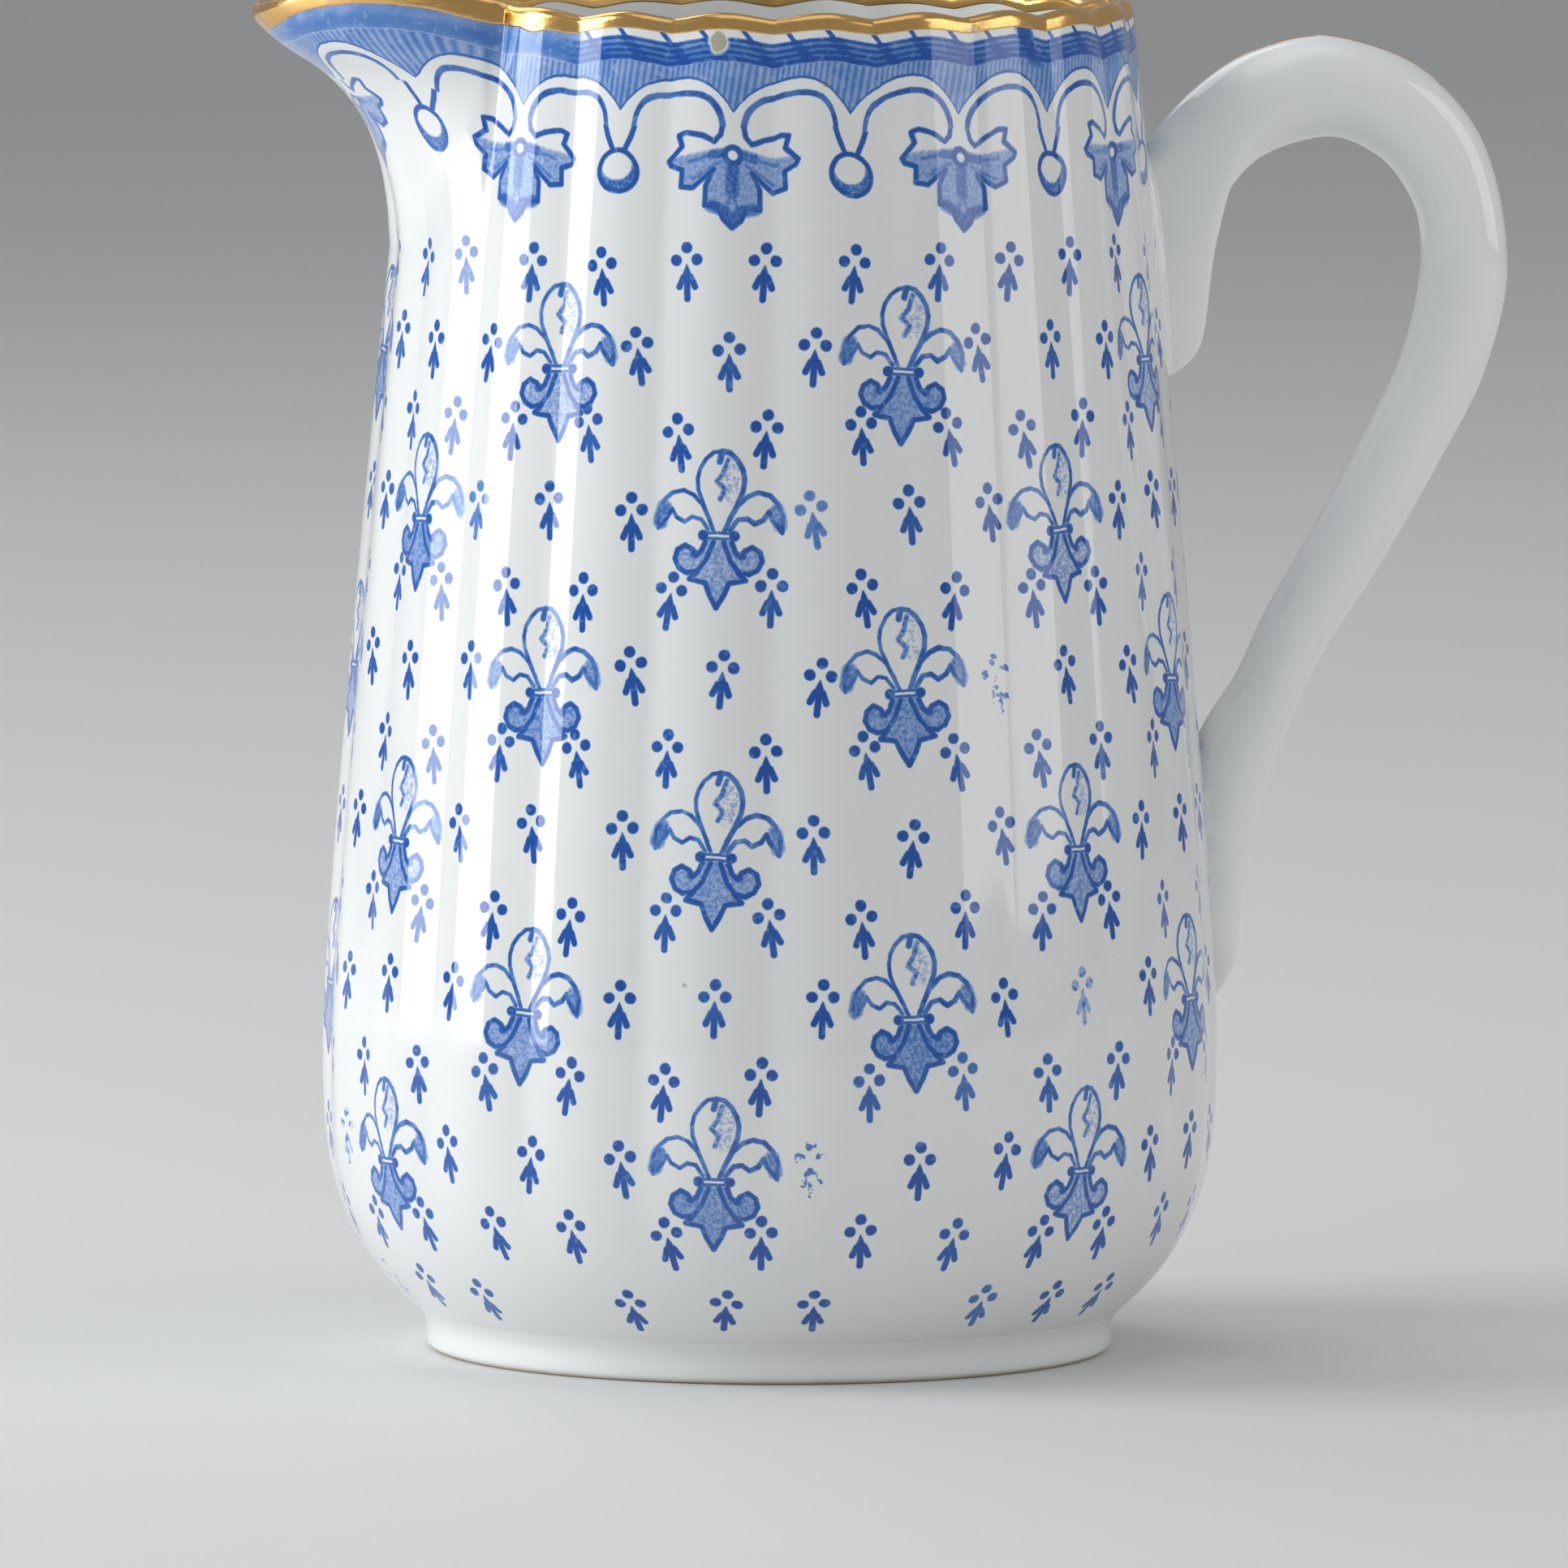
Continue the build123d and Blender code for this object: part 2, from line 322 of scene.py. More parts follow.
def wall_profile(shape, phi, top, bottom, count, power):
    """Radius and height down the outside of the wall, and the matching inside points,
    which lie one wall thickness along the profile's normal."""
    t = np.linspace(0, 1, count)[:, None] ** power
    z = top - (top - bottom) * t
    outside = wall_radius(shape, phi, z)
    near_rim = 1 - ramp(0, 12 * MM, shape.rim_height - z)
    even = wall_radius(shape, phi, z, 0.5 * near_rim)
    step = 0.1 * MM
    rise = wall_radius(shape, phi, z + step, 0) - wall_radius(shape, phi, z - step, 0)
    slope = rise / (2 * step)
    thick = shape.rim_wall + (shape.wall - shape.rim_wall) * ramp(0, 30 * MM, shape.rim_height - z)
    along = thick / np.sqrt(1 + slope**2)
    inside_radius = even - along
    inside_z = z + along * slope
    return outside, z, inside_radius, inside_z


def rim_edge(outside, z, inside_radius, inside_z, count):
    """Half circle over the edge, from the outside point to the inside point."""
    a = np.stack([outside[0], z[0]], -1)
    b = np.stack([inside_radius[0], inside_z[0]], -1)
    half = (b - a) / 2
    up = np.stack([half[:, 1], -half[:, 0]], -1)
    angles = np.linspace(0, math.pi, count + 2)[1:-1, None, None]
    edge = (a + b) / 2 - half * np.cos(angles) + up * np.sin(angles)
    return edge[..., 0], edge[..., 1]


def surface_normals(points):
    """Unit normals of a grid whose columns wrap, from the cross product of its slopes."""
    along = np.gradient(points, axis=0)
    around = np.roll(points, -1, axis=1) - np.roll(points, 1, axis=1)
    normal = np.cross(along, around)
    return normal / np.maximum(np.linalg.norm(normal, axis=-1, keepdims=True), 1e-12)


def skin(name, rows, poles=(None, None), wrap=False, maps=None):
    """Closed mesh over a grid of points whose columns wrap round. Its first and last rows
    close on a pole each, or meet each other; maps holds UV grids with one column more."""
    m, n = rows.shape[:2]
    bands = m if wrap else m - 1
    i, j = np.meshgrid(np.arange(bands), np.arange(n), indexing="ij")
    corner_rows = np.stack([i, i, i + 1, i + 1], -1).reshape(-1, 4)
    corner_columns = np.stack([j, j + 1, j + 1, j], -1).reshape(-1, 4)
    faces = ((corner_rows % m) * n + corner_columns % n).tolist()
    points = rows.reshape(-1, 3)
    column = np.arange(n)
    fans = []
    for end, pole in zip((0, m - 1), poles):
        if pole is None:
            continue
        tip = len(points)
        points = np.vstack([points, pole])
        ring = np.stack([end * n + (column + 1) % n, end * n + column], -1)
        ring = ring if end == 0 else ring[:, ::-1]
        faces += np.column_stack([ring, np.full(n, tip)]).tolist()
        fans.append(end)
    mesh = bpy.data.meshes.new(name)
    mesh.from_pydata(points.tolist(), [], faces)
    for map_name, (u, v, ends) in (maps or {}).items():
        at = corner_rows % m, corner_columns
        corners = [np.stack([u[at], v[at]], -1)]
        for end in fans:
            pair = [column + 1, column] if end == 0 else [column, column + 1]
            side = [np.stack([u[end, c], v[end, c]], -1) for c in pair]
            half_way = (u[end, column] + u[end, column + 1]) / 2
            tip = np.stack([half_way, np.full(n, ends[end > 0])], -1)
            corners.append(np.stack([*side, tip], 1))
        layer = mesh.uv_layers.new(name=map_name)
        layer.data.foreach_set("uv", np.concatenate([c.reshape(-1) for c in corners]))
    triangles = np.zeros(len(mesh.loop_triangles) * 3, int)
    mesh.loop_triangles.foreach_get("vertices", triangles)
    a, b, c = points[triangles.reshape(-1, 3)].transpose(1, 0, 2)
    if np.einsum("ij,ij->i", a, np.cross(b, c)).sum() < 0:
        mesh.flip_normals()
    mesh.shade_smooth()
    return mesh


def add_piece(name, mesh, material, slot, *nodes):
    """Puts a mesh in the scene as a piece that stands for CAD nodes."""
    mesh.materials.append(material)
    piece = bpy.data.objects.new(name, mesh)
    bpy.context.scene.collection.objects.link(piece)
    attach(piece, "root")
    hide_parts(*nodes)
    return piece


# ---------------------------------------------------------------- shader nodes


class Bench:
    """Adds nodes to a tree: each call makes one node and returns its output."""

    def __init__(self, tree):
        self.tree = tree

    def put(self, socket, value):
        """Links an output to a socket, or sets the socket to a value."""
        if isinstance(value, bpy.types.NodeSocket):
            self.tree.links.new(value, socket)
        else:
            socket.default_value = value

    def node(self, kind, inputs=(), **settings):
        """New node with settings and inputs by name or number."""
        made = self.tree.nodes.new(kind)
        for key, value in settings.items():
            setattr(made, key, value)
        for key, value in dict(inputs).items():
            self.put(made.inputs[key], value)
        return made

    def math(self, operation, *values, clamp=False):
        """Math node on one, two or three values."""
        made = self.node("ShaderNodeMath", enumerate(values), operation=operation, use_clamp=clamp)
        return made.outputs[0]

    def add(self, a, b):
        return self.math("ADD", a, b)

    def sub(self, a, b):
        return self.math("SUBTRACT", a, b)

    def mul(self, a, b):
        return self.math("MULTIPLY", a, b)

    def least(self, *values):
        """Smallest of several values."""
        result = values[0]
        for value in values[1:]:
            result = self.math("MINIMUM", result, value)
        return result

    def most(self, *values):
        """Largest of several values."""
        result = values[0]
        for value in values[1:]:
            result = self.math("MAXIMUM", result, value)
        return result

    def size(self, a):
        """Absolute value."""
        return self.math("ABSOLUTE", a)

    def nearest(self, a):
        """Nearest whole number."""
        return self.math("ROUND", a)

    def wrap(self, a, period):
        """What is left of a value past its last whole period."""
        return self.math("FLOORED_MODULO", a, period)

    def swing(self, chance, span):
        """Value that swings evenly about zero as a chance goes from zero to one."""
        return self.mul(self.sub(chance, 0.5), span)

    def grained(self, mask, base, gain, grain):
        """Mask whose strength runs from a base up by a gain, with a grain."""
        return self.mul(mask, self.add(base, self.mul(grain, gain)))

    def step(self, low, high, x):
        """Smooth step from zero at low to one at high; low may be above high."""
        made = self.node("ShaderNodeMapRange", {"Value": x}, interpolation_type="SMOOTHSTEP")
        self.put(made.inputs["From Min"], low)
        self.put(made.inputs["From Max"], high)
        return made.outputs[0]

    def within(self, low, high, soft, x):
        """One between low and high, with soft edges."""
        rising = self.step(low - soft, low + soft, x)
        return self.mul(rising, self.step(high + soft, high - soft, x))

    def vector(self, operation, *values, scale=None):
        """Vector math node; its value output for dot, length and distance."""
        made = self.node("ShaderNodeVectorMath", enumerate(values), operation=operation)
        if scale is not None:
            self.put(made.inputs["Scale"], scale)
        is_number = operation in {"DOT_PRODUCT", "LENGTH", "DISTANCE"}
        return made.outputs["Value" if is_number else "Vector"]

    def gap(self, at, x, y):
        """Distance to a point."""
        return self.vector("DISTANCE", at, (x, y, 0.0))

    def turned(self, x, y, angle):
        """Place turned about the origin."""
        inputs = {"Vector": self.join(x, y), "Angle": angle}
        return self.node("ShaderNodeVectorRotate", inputs, rotation_type="Z_AXIS").outputs[0]

    def mix(self, share, first, second):
        """Number between two numbers."""
        made = self.node("ShaderNodeMix", {0: share}, data_type="FLOAT")
        self.put(made.inputs[2], first)
        self.put(made.inputs[3], second)
        return made.outputs[0]

    def blend(self, share, first, second, mode="MIX"):
        """Colour between two colours."""
        made = self.node("ShaderNodeMix", {0: share}, data_type="RGBA", blend_type=mode)
        self.put(made.inputs[6], first)
        self.put(made.inputs[7], second)
        return made.outputs[2]

    def join(self, x, y, z=0.0):
        return self.node("ShaderNodeCombineXYZ", enumerate((x, y, z))).outputs[0]

    def split(self, vector):
        return self.node("ShaderNodeSeparateXYZ", {0: vector}).outputs

    def noise(self, vector, scale, detail=2.0, roughness=0.5):
        """Noise value at a scale."""
        inputs = {"Vector": vector, "Scale": scale, "Detail": detail, "Roughness": roughness}
        return self.node("ShaderNodeTexNoise", inputs).outputs["Fac"]

    def random(self, vector):
        """Three random numbers for a cell."""
        return self.split(self.node("ShaderNodeTexWhiteNoise", {"Vector": vector}).outputs["Color"])

    def relief(self, height, strength, distance):
        """Normal of a surface with a small relief."""
        inputs = {"Height": height, "Strength": strength, "Distance": distance}
        return self.node("ShaderNodeBump", inputs).outputs[0]

    def curve(self, points, x):
        """Height of a curve through points, worked out on values from zero to one."""
        span = max(p[0] for p in points)
        top = max(p[1] for p in points)
        made = self.node("ShaderNodeFloatCurve", {"Value": self.mul(x, 1 / span)})
        knots = made.mapping.curves[0].points
        while len(knots) < len(points):
            knots.new(0.5, 0.5)
        for knot, (a, b) in zip(knots, sorted(points)):
            knot.location = (a / span, b / top)
            knot.handle_type = "AUTO_CLAMPED"
        made.mapping.update()
        return self.mul(made.outputs[0], top)

    def stroke(self, at, points):
        """Distance to a line drawn through points, one segment after another."""
        result = None
        for (ax, ay), (bx, by) in zip(points[:-1], points[1:]):
            run = (bx - ax, by - ay, 0.0)
            offset = self.vector("SUBTRACT", at, (ax, ay, 0.0))
            share = self.vector("DOT_PRODUCT", offset, run)
            share = self.math("MULTIPLY", share, 1 / (run[0] ** 2 + run[1] ** 2), clamp=True)
            near = self.vector("DISTANCE", offset, self.vector("SCALE", run, scale=share))
            result = near if result is None else self.math("MINIMUM", result, near)
        return result

    def use(self, group, **inputs):
        """Places a node group and sets its inputs."""
        made = self.node("ShaderNodeGroup", node_tree=group)
        for key, value in inputs.items():
            self.put(made.inputs[key.replace("_", " ")], value)
        return made.outputs


def new_group(name, inputs, outputs):
    """Empty node group with named sockets; returns it with a bench and its ends."""
    tree = bpy.data.node_groups.new(name, "ShaderNodeTree")
    for socket, kind, default in inputs:
        made = tree.interface.new_socket(socket, in_out="INPUT", socket_type="NodeSocket" + kind)
        if default is not None:
            made.default_value = default
    for socket, kind in outputs:
        tree.interface.new_socket(socket, in_out="OUTPUT", socket_type="NodeSocket" + kind)
    bench = Bench(tree)
    return tree, bench, bench.node("NodeGroupInput").outputs, bench.node("NodeGroupOutput").inputs


def ermine_spot_group():
    """Heraldic ermine spot, millimetres about its middle: three dots over a dart that
    spreads into two barbs and a stem."""
    tree, b, given, out = new_group("ermine_spot", [("Place", "Vector", None)], [("Ink", "Float")])
    at = given["Place"]
    x, y, _ = b.split(at)
    dots = b.least(
        b.gap(at, 0.02, 1.78),
        b.gap(at, -0.88, 0.78),
        b.gap(at, 0.86, 0.82),
    )
    side = b.size(x)
    half = b.join(side, y)
    stem = b.stroke(half, [(0, -0.2), (0, -2.3)])
    barb = b.stroke(half, [(0.30, -0.55), (0.66, -1.35)])
    spread = b.sub(side, b.mul(b.sub(0.55, y), 0.40))
    middle = b.mul(b.step(0.10, -0.08, spread), b.within(-0.95, 0.5, 0.12, y))
    dart = b.most(b.step(0.34, 0.19, stem), b.step(0.34, 0.18, barb), middle)
    b.put(out["Ink"], b.most(b.step(0.54, 0.38, dots), dart))
    return tree


def lily_group():
    """Lily of three petals above a tie, with a pair of scrolls and a barbed tail below.
    Millimetres about the tie's middle; one side is drawn and mirrored. Load is how much
    ink the washes hold, from zero to one."""
    inputs = [("Place", "Vector", None), ("Load", "Float", 0.5)]
    tree, b, given, out = new_group("lily", inputs, [("Ink", "Float")])
    x, y, _ = b.split(given["Place"])
    side = b.size(x)
    at = b.join(side, y)
    right = b.step(-0.3, 0.5, x)
    petals = b.least(*(b.stroke(at, path) for path in (LILY_TOP, LILY_OVER, LILY_BENEATH)))
    weight = b.add(0.155, b.mul(right, 0.04))
    lines = b.step(b.add(weight, 0.08), b.sub(weight, 0.06), petals)
    lower = b.least(*(b.stroke(at, path) for path in (LILY_SCROLL, LILY_CURL, LILY_TAIL)))
    heavy = b.step(0.30, 0.14, lower)
    knot = b.step(0.50, 0.34, b.gap(at, 1.25, 0.0))
    band = b.mul(b.within(0.10, 0.34, 0.06, b.size(y)), b.step(1.3, 1.2, side))
    tail_edge = b.curve(LILY_TAIL_WIDTHS, b.sub(-0.4, y))
    fill = b.mul(b.step(0.1, -0.1, b.sub(side, tail_edge)), b.step(-0.3, -0.45, y))
    roll = b.step(1.0, 0.85, b.gap(at, 2.55, -1.95))
    neck = b.step(0.5, 0.4, b.stroke(at, [(0.8, -0.6), (1.25, -1.7), (2.0, -2.35)]))
    own = b.join(x, y, b.mul(given["Load"], 9.0))
    speckle = b.step(0.40, 0.60, b.noise(own, 3.2, 2.0, 0.7))
    pressure = b.step(0.36, 0.62, b.noise(own, 0.9, 1.0, 0.5))
    depth = b.add(0.14, b.mul(given["Load"], 0.20))
    wash = b.mul(b.most(fill, roll, neck), b.add(depth, b.mul(speckle, 0.27)))
    eyelet = b.step(0.55, 0.2, b.gap(at, 1.95, -1.55))
    tips = b.step(0.80, 0.35, b.stroke(at, [(4.85, 0.95), (4.55, 2.1)]))
    tips = b.mul(tips, b.sub(b.add(0.50, b.mul(speckle, 0.25)), b.mul(right, 0.18)))
    apex = b.step(0.34, 0.16, b.stroke(given["Place"], [(0.0, 6.6), (-0.15, 5.9)]))
    vein_path = [(0.5, 6.1), (0.2, 5.0), (-0.3, 4.3), (0.35, 3.7), (0.0, 2.9)]
    vein = b.step(0.32, 0.06, b.stroke(given["Place"], vein_path))
    vein = b.grained(vein, 0.40, 0.42, speckle)
    shaded = b.mul(b.within(0.2, 1.6, 0.3, x), b.within(2.6, 6.1, 0.5, y))
    marks = b.most(b.mul(apex, 0.8), vein, b.mul(shaded, b.mul(speckle, 0.24)), tips)
    dark = b.most(b.mul(heavy, 0.88), b.mul(knot, 0.92), b.mul(band, 0.78), b.mul(eyelet, 0.8))
    lines = b.grained(lines, 0.62, 0.25, pressure)
    b.put(out["Ink"], b.most(lines, marks, dark, wash))
    return tree


def leaf_group():
    """Three-lobed leaf that hangs from a cusp of the border. Across and down, in
    millimetres, from the rim: hooked stems, jagged lobes, dark veins and a small eye."""
    tree, b, given, out = new_group("hanging_leaf", [("Place", "Vector", None)], [("Ink", "Float")])
    x, y, _ = b.split(given["Place"])
    side = b.size(x)
    at = b.join(side, y)
    edge = b.least(*(b.stroke(at, path) for path in (LEAF_HOOK, LEAF_WING, LEAF_BLADE)))
    outline = b.step(0.30, 0.13, edge)
    past_wing = b.sub(y, b.curve(LEAF_WING_DEPTHS, side))
    wing_fill = b.mul(b.step(0.1, -0.1, past_wing), b.step(5.3, 5.1, side))
    wing_fill = b.mul(wing_fill, b.step(11.0, 11.5, b.sub(y, b.mul(side, 0.05))))
    blade_edge = b.curve(LEAF_BLADE_WIDTHS, b.most(b.sub(y, 12.0), 0.0))
    blade_fill = b.mul(b.step(0.1, -0.1, b.sub(side, blade_edge)), b.within(12.2, 17.4, 0.2, y))
    eye = b.gap(at, 0, 11.7)
    ring = b.within(0.40, 0.88, 0.1, eye)
    heart = b.step(0.95, 0.3, b.stroke(at, [(0.0, 12.8), (0.0, 14.6)]))
    shoulder = b.step(0.62, 0.2, b.stroke(at, [(0.7, 11.6), (1.7, 11.7)]))
    tip = b.step(0.75, 0.25, b.stroke(at, [(0.0, 17.0), (0.6, 16.1), (1.7, 15.7)]))
    thin = b.least(
        b.stroke(at, [(1.7, 11.7), (3.6, 12.0)]),
        b.stroke(at, [(1.0, 12.3), (3.2, 13.5)]),
        b.stroke(at, [(0.0, 14.6), (0.5, 16.0)]),
    )
    grain = b.noise(given["Place"], 3.2, 3.0, 0.7)
    speckle = b.step(0.35, 0.65, grain)
    clear = b.step(0.36, 0.5, eye)
    wash = b.grained(b.most(wing_fill, blade_fill), 0.22, 0.28, speckle)
    dark = b.most(heart, shoulder, tip, b.mul(b.step(0.32, 0.08, thin), 0.75))
    marks = b.grained(dark, 0.62, 0.3, speckle)
    shades = b.mul(b.most(wash, marks), clear)
    b.put(out["Ink"], b.most(b.mul(outline, 0.88), b.mul(ring, 0.88), shades))
    return tree


def ball_group():
    """Ball that hangs from a cusp on two converging stems, shaded on its underside.
    Across and down, in millimetres, from the rim."""
    tree, b, given, out = new_group("hanging_ball", [("Place", "Vector", None)], [("Ink", "Float")])
    x, y, _ = b.split(given["Place"])
    at = b.join(b.size(x), y)
    stem = b.stroke(at, [(1.3, 9.3), (1.0, 10.3), (0.5, 11.45)])
    gap = b.gap(at, 0, 13.1)
    ring = b.within(1.42, 1.84, 0.08, gap)
    shade_gap = b.gap(given["Place"], -0.15, 12.55)
    shade = b.mul(b.step(1.2, 1.5, shade_gap), b.step(1.7, 1.6, gap))
    speckle = b.step(0.35, 0.6, b.noise(given["Place"], 4.0, 2.0, 0.6))
    shade = b.grained(shade, 0.50, 0.35, speckle)
    b.put(out["Ink"], b.most(b.mul(b.step(0.29, 0.14, stem), 0.86), b.mul(ring, 0.9), shade))
    return tree


def scattered_print_group(spot, lily):
    """Half-drop lattice of ermine spots, with a lily in place of every eighth of them.
    Turn is a share of a whole turn from the lip, Height and Radius are millimetres."""
    inputs = [("Turn", "Float", None), ("Height", "Float", None), ("Radius", "Float", None)]
    tree, b, given, out = new_group("scattered_print", inputs, [("Ink", "Float")])
    turn = b.add(given["Turn"], 2.2 / 360)
    around = b.mul(given["Radius"], TAU)
    row_pitch, top_row, spot_columns = 6.46, 83.0, 28
    level = b.mul(b.sub(top_row, given["Height"]), 1 / row_pitch)
    row = b.math("ROUND", level)
    odd = b.math("FLOORED_MODULO", row, 2.0)
    column_place = b.add(b.mul(turn, spot_columns), b.mul(odd, 0.5))
    column = b.math("ROUND", column_place)
    shake = b.random(b.join(b.math("FLOORED_MODULO", column, float(spot_columns)), row, 3.0))
    x = b.mul(b.sub(column_place, column), b.mul(around, 1 / spot_columns))
    y = b.mul(b.sub(row, level), row_pitch)
    x = b.add(x, b.mul(b.sub(shake[0], 0.5), 0.9))
    y = b.add(y, b.mul(b.sub(shake[1], 0.5), 0.8))
    lean = b.node("ShaderNodeVectorRotate", {"Vector": b.join(x, y)}, rotation_type="Z_AXIS")
    b.put(lean.inputs["Angle"], b.mul(b.sub(shake[2], 0.5), 0.34))
    spots = b.use(spot, Place=lean.outputs[0])["Ink"]
    is_lily = b.mul(
        b.math("COMPARE", b.math("FLOORED_MODULO", b.sub(column, row), 4.0), 0.0, 0.1),
        b.math("COMPARE", odd, 0.0, 0.1),
    )
    on_body = b.mul(b.math("GREATER_THAN", row, -1.5), b.math("LESS_THAN", row, 12.5))
    spots = b.mul(spots, b.mul(b.sub(1.0, is_lily), on_body))
    luck = b.random(b.join(row, b.math("FLOORED_MODULO", column, float(spot_columns)), 9.0))[0]
    crumbs = b.step(0.48, 0.60, b.noise(b.join(x, y, row), 1.6, 2.0, 0.6))
    faint = b.most(b.step(0.01, 0.06, luck), b.mul(crumbs, 0.8))
    spots = b.mul(b.mul(spots, faint), b.add(0.82, b.mul(luck, 0.18)))

    lily_columns = spot_columns / 2
    lily_place = b.mul(turn, lily_columns)
    lily_column = b.math("ROUND", lily_place)
    shift = b.mul(b.math("FLOORED_MODULO", lily_column, 2.0), 2 * row_pitch)
    lily_level = b.mul(b.sub(b.sub(top_row - 1.3, shift), given["Height"]), 1 / (4 * row_pitch))
    lily_row = b.math("ROUND", lily_level)
    lily_column_cell = b.math("FLOORED_MODULO", lily_column, lily_columns)
    sway = b.random(b.join(lily_column_cell, lily_row, 21.0))
    x = b.mul(b.sub(lily_place, lily_column), b.mul(around, 1 / lily_columns))
    y = b.mul(b.sub(lily_row, lily_level), 4 * row_pitch)
    x = b.add(x, b.mul(b.sub(sway[0], 0.5), 0.7))
    y = b.add(y, b.mul(b.sub(sway[1], 0.5), 0.5))
    tilt = b.node("ShaderNodeVectorRotate", {"Vector": b.join(x, y)}, rotation_type="Z_AXIS")
    b.put(tilt.inputs["Angle"], b.mul(b.sub(sway[2], 0.5), 0.14))
    load = b.random(b.join(lily_column_cell, lily_row, 33.0))[0]
    lilies = b.use(lily, Place=tilt.outputs[0], Load=load)["Ink"]
    in_rows = b.mul(b.math("GREATER_THAN", lily_row, -0.5), b.math("LESS_THAN", lily_row, 2.5))
    lilies = b.mul(lilies, in_rows)
    b.put(out["Ink"], b.most(spots, lilies))
    return tree


def border_print_group(leaf, ball):
    """Printed border under the gilding: a slanted rope, engraved lines, fine upright
    hatching and an arcade whose cusps carry leaves and balls by turns. Turn is a share
    of a whole turn from the lip; Below and Radius are millimetres."""
    inputs = [("Turn", "Float", None), ("Below", "Float", None), ("Radius", "Float", None)]
    outputs = [("Ink", "Float"), ("Flaw", "Float")]
    tree, b, given, out = new_group("border_print", inputs, outputs)
    arches = 20
    s = given["Below"]
    around = b.mul(given["Radius"], TAU)
    turn = b.sub(given["Turn"], 3.7 / 360)
    run = b.mul(turn, around)
    place = b.mul(turn, arches)
    cusp = b.nearest(place)
    is_ball = b.wrap(cusp, 2.0)
    pitch = b.mul(around, 1 / arches)
    across = b.mul(b.sub(place, cusp), pitch)
    from_middle = b.sub(b.mul(pitch, 0.5), b.size(across))

    soft = 0.07
    slanted = b.math("FRACT", b.mul(b.sub(run, b.mul(s, 0.95)), 1 / 3.4))
    from_divider = b.size(b.sub(slanted, 0.5))
    divider = b.step(0.085, 0.045, from_divider)
    smudge = b.noise(b.join(run, s, 0.0), 0.55, 3.0, 0.6)
    patchy = b.step(0.35, 0.65, smudge)
    rope = b.most(b.mul(divider, 0.85), b.mul(b.within(0.7, 1.15, soft, s), 0.62))
    rope = b.most(rope, b.mul(b.step(0.72, 0.80, smudge), 0.6))
    rope = b.mul(rope, b.step(2.35, 2.25, s))
    waves = b.math("SINE", b.mul(b.sub(s, 2.36), TAU / 0.49))
    depth = b.step(2.2, 4.2, s)
    lines = b.add(b.add(0.60, b.mul(depth, 0.22)), b.mul(waves, b.sub(0.26, b.mul(depth, 0.10))))
    lines = b.add(lines, b.mul(b.step(0.22, 0.08, from_divider), 0.26))
    lines = b.add(lines, b.mul(patchy, 0.12))
    lines = b.mul(lines, b.within(2.28, 4.22, soft, s))
    hatch_wave = b.math("SINE", b.mul(run, TAU / 0.5))
    hatch = b.add(b.add(0.40, b.mul(hatch_wave, 0.15)), b.mul(patchy, 0.14))
    arch_path = [(0, 5.3), (1, 5.4), (2, 5.75), (3, 6.4), (4, 7.4), (4.7, 8.3), (6.5, 9.9)]
    arch_top = b.curve(arch_path, from_middle)
    over_arch = b.sub(arch_top, s)
    hatch = b.mul(hatch, b.mul(b.step(4.1, 4.3, s), b.step(-0.05, 0.05, over_arch)))
    rule = b.mul(b.within(0.0, 0.24, soft, over_arch), b.step(4.2, 4.4, s))
    spread = b.mul(b.mul(is_ball, 0.5), b.step(2.0, 4.2, from_middle))
    oval = b.math("POWER", b.mul(b.add(from_middle, spread), 1 / 3.9), 2.3)
    high = b.math("POWER", b.mul(b.most(b.sub(10.0, s), 0.0), 1 / 3.55), 2.3)
    bow = b.math("POWER", b.add(oval, high), 1 / 2.3)
    inner = b.mul(b.size(b.sub(bow, 1.0)), 3.4)
    inner = b.mul(b.step(0.29, 0.14, inner), b.step(9.5, 9.4, s))
    pen = b.add(0.62, b.mul(patchy, 0.28))
    arcade = b.most(b.mul(rule, 0.82), b.mul(inner, pen))
    even_place = b.mul(place, 0.5)
    from_leaf = b.mul(b.sub(even_place, b.nearest(even_place)), b.mul(pitch, 2.0))
    leaf_ink = b.use(leaf, Place=b.join(from_leaf, s))["Ink"]
    ball_ink = b.mul(b.use(ball, Place=b.join(across, s))["Ink"], is_ball)
    hanging = b.most(leaf_ink, ball_ink)
    hanging = b.mul(hanging, b.mul(b.step(9.3, 9.5, s), b.step(18.6, 18.4, s)))

    from_lip = b.mul(b.size(b.sub(b.math("FRACT", b.add(given["Turn"], 0.5)), 0.5)), 360.0)
    smeared = b.step(53.0, 45.0, from_lip)
    wash = b.add(0.50, b.swing(smudge, 0.5))
    wash = b.add(wash, b.mul(b.within(3.0, 3.9, 0.4, s), 0.14))
    wash = b.mul(wash, b.within(0.6, 4.2, 0.15, s))
    top = b.mix(smeared, b.add(rope, lines), wash)
    seam_place = b.size(b.sub(b.mul(given["Turn"], 360.0), b.add(123.5, b.mul(s, 0.9))))
    seam = b.mul(b.step(2.6, 1.2, seam_place), b.step(5.4, 4.2, s))
    crowded = b.most(top, b.mul(b.mul(seam, 0.85), b.step(1.0, 1.3, s)))
    everything = b.most(crowded, hatch, arcade, hanging)
    flaw_place = b.join(b.mul(b.sub(given["Turn"], 73.2 / 360), around), b.sub(s, 2.65))
    flaw = b.vector("LENGTH", b.vector("MULTIPLY", flaw_place, (1.3, 1.0, 0)))
    flaw = b.add(flaw, b.swing(b.noise(flaw_place, 0.9, 3.0, 0.6), 0.7))
    halo = b.step(0.85, 1.35, flaw)
    b.put(out["Flaw"], b.step(0.98, 0.72, flaw))
    b.put(out["Ink"], b.mul(b.mul(everything, halo), b.step(0.4, 0.7, s)))
    return tree


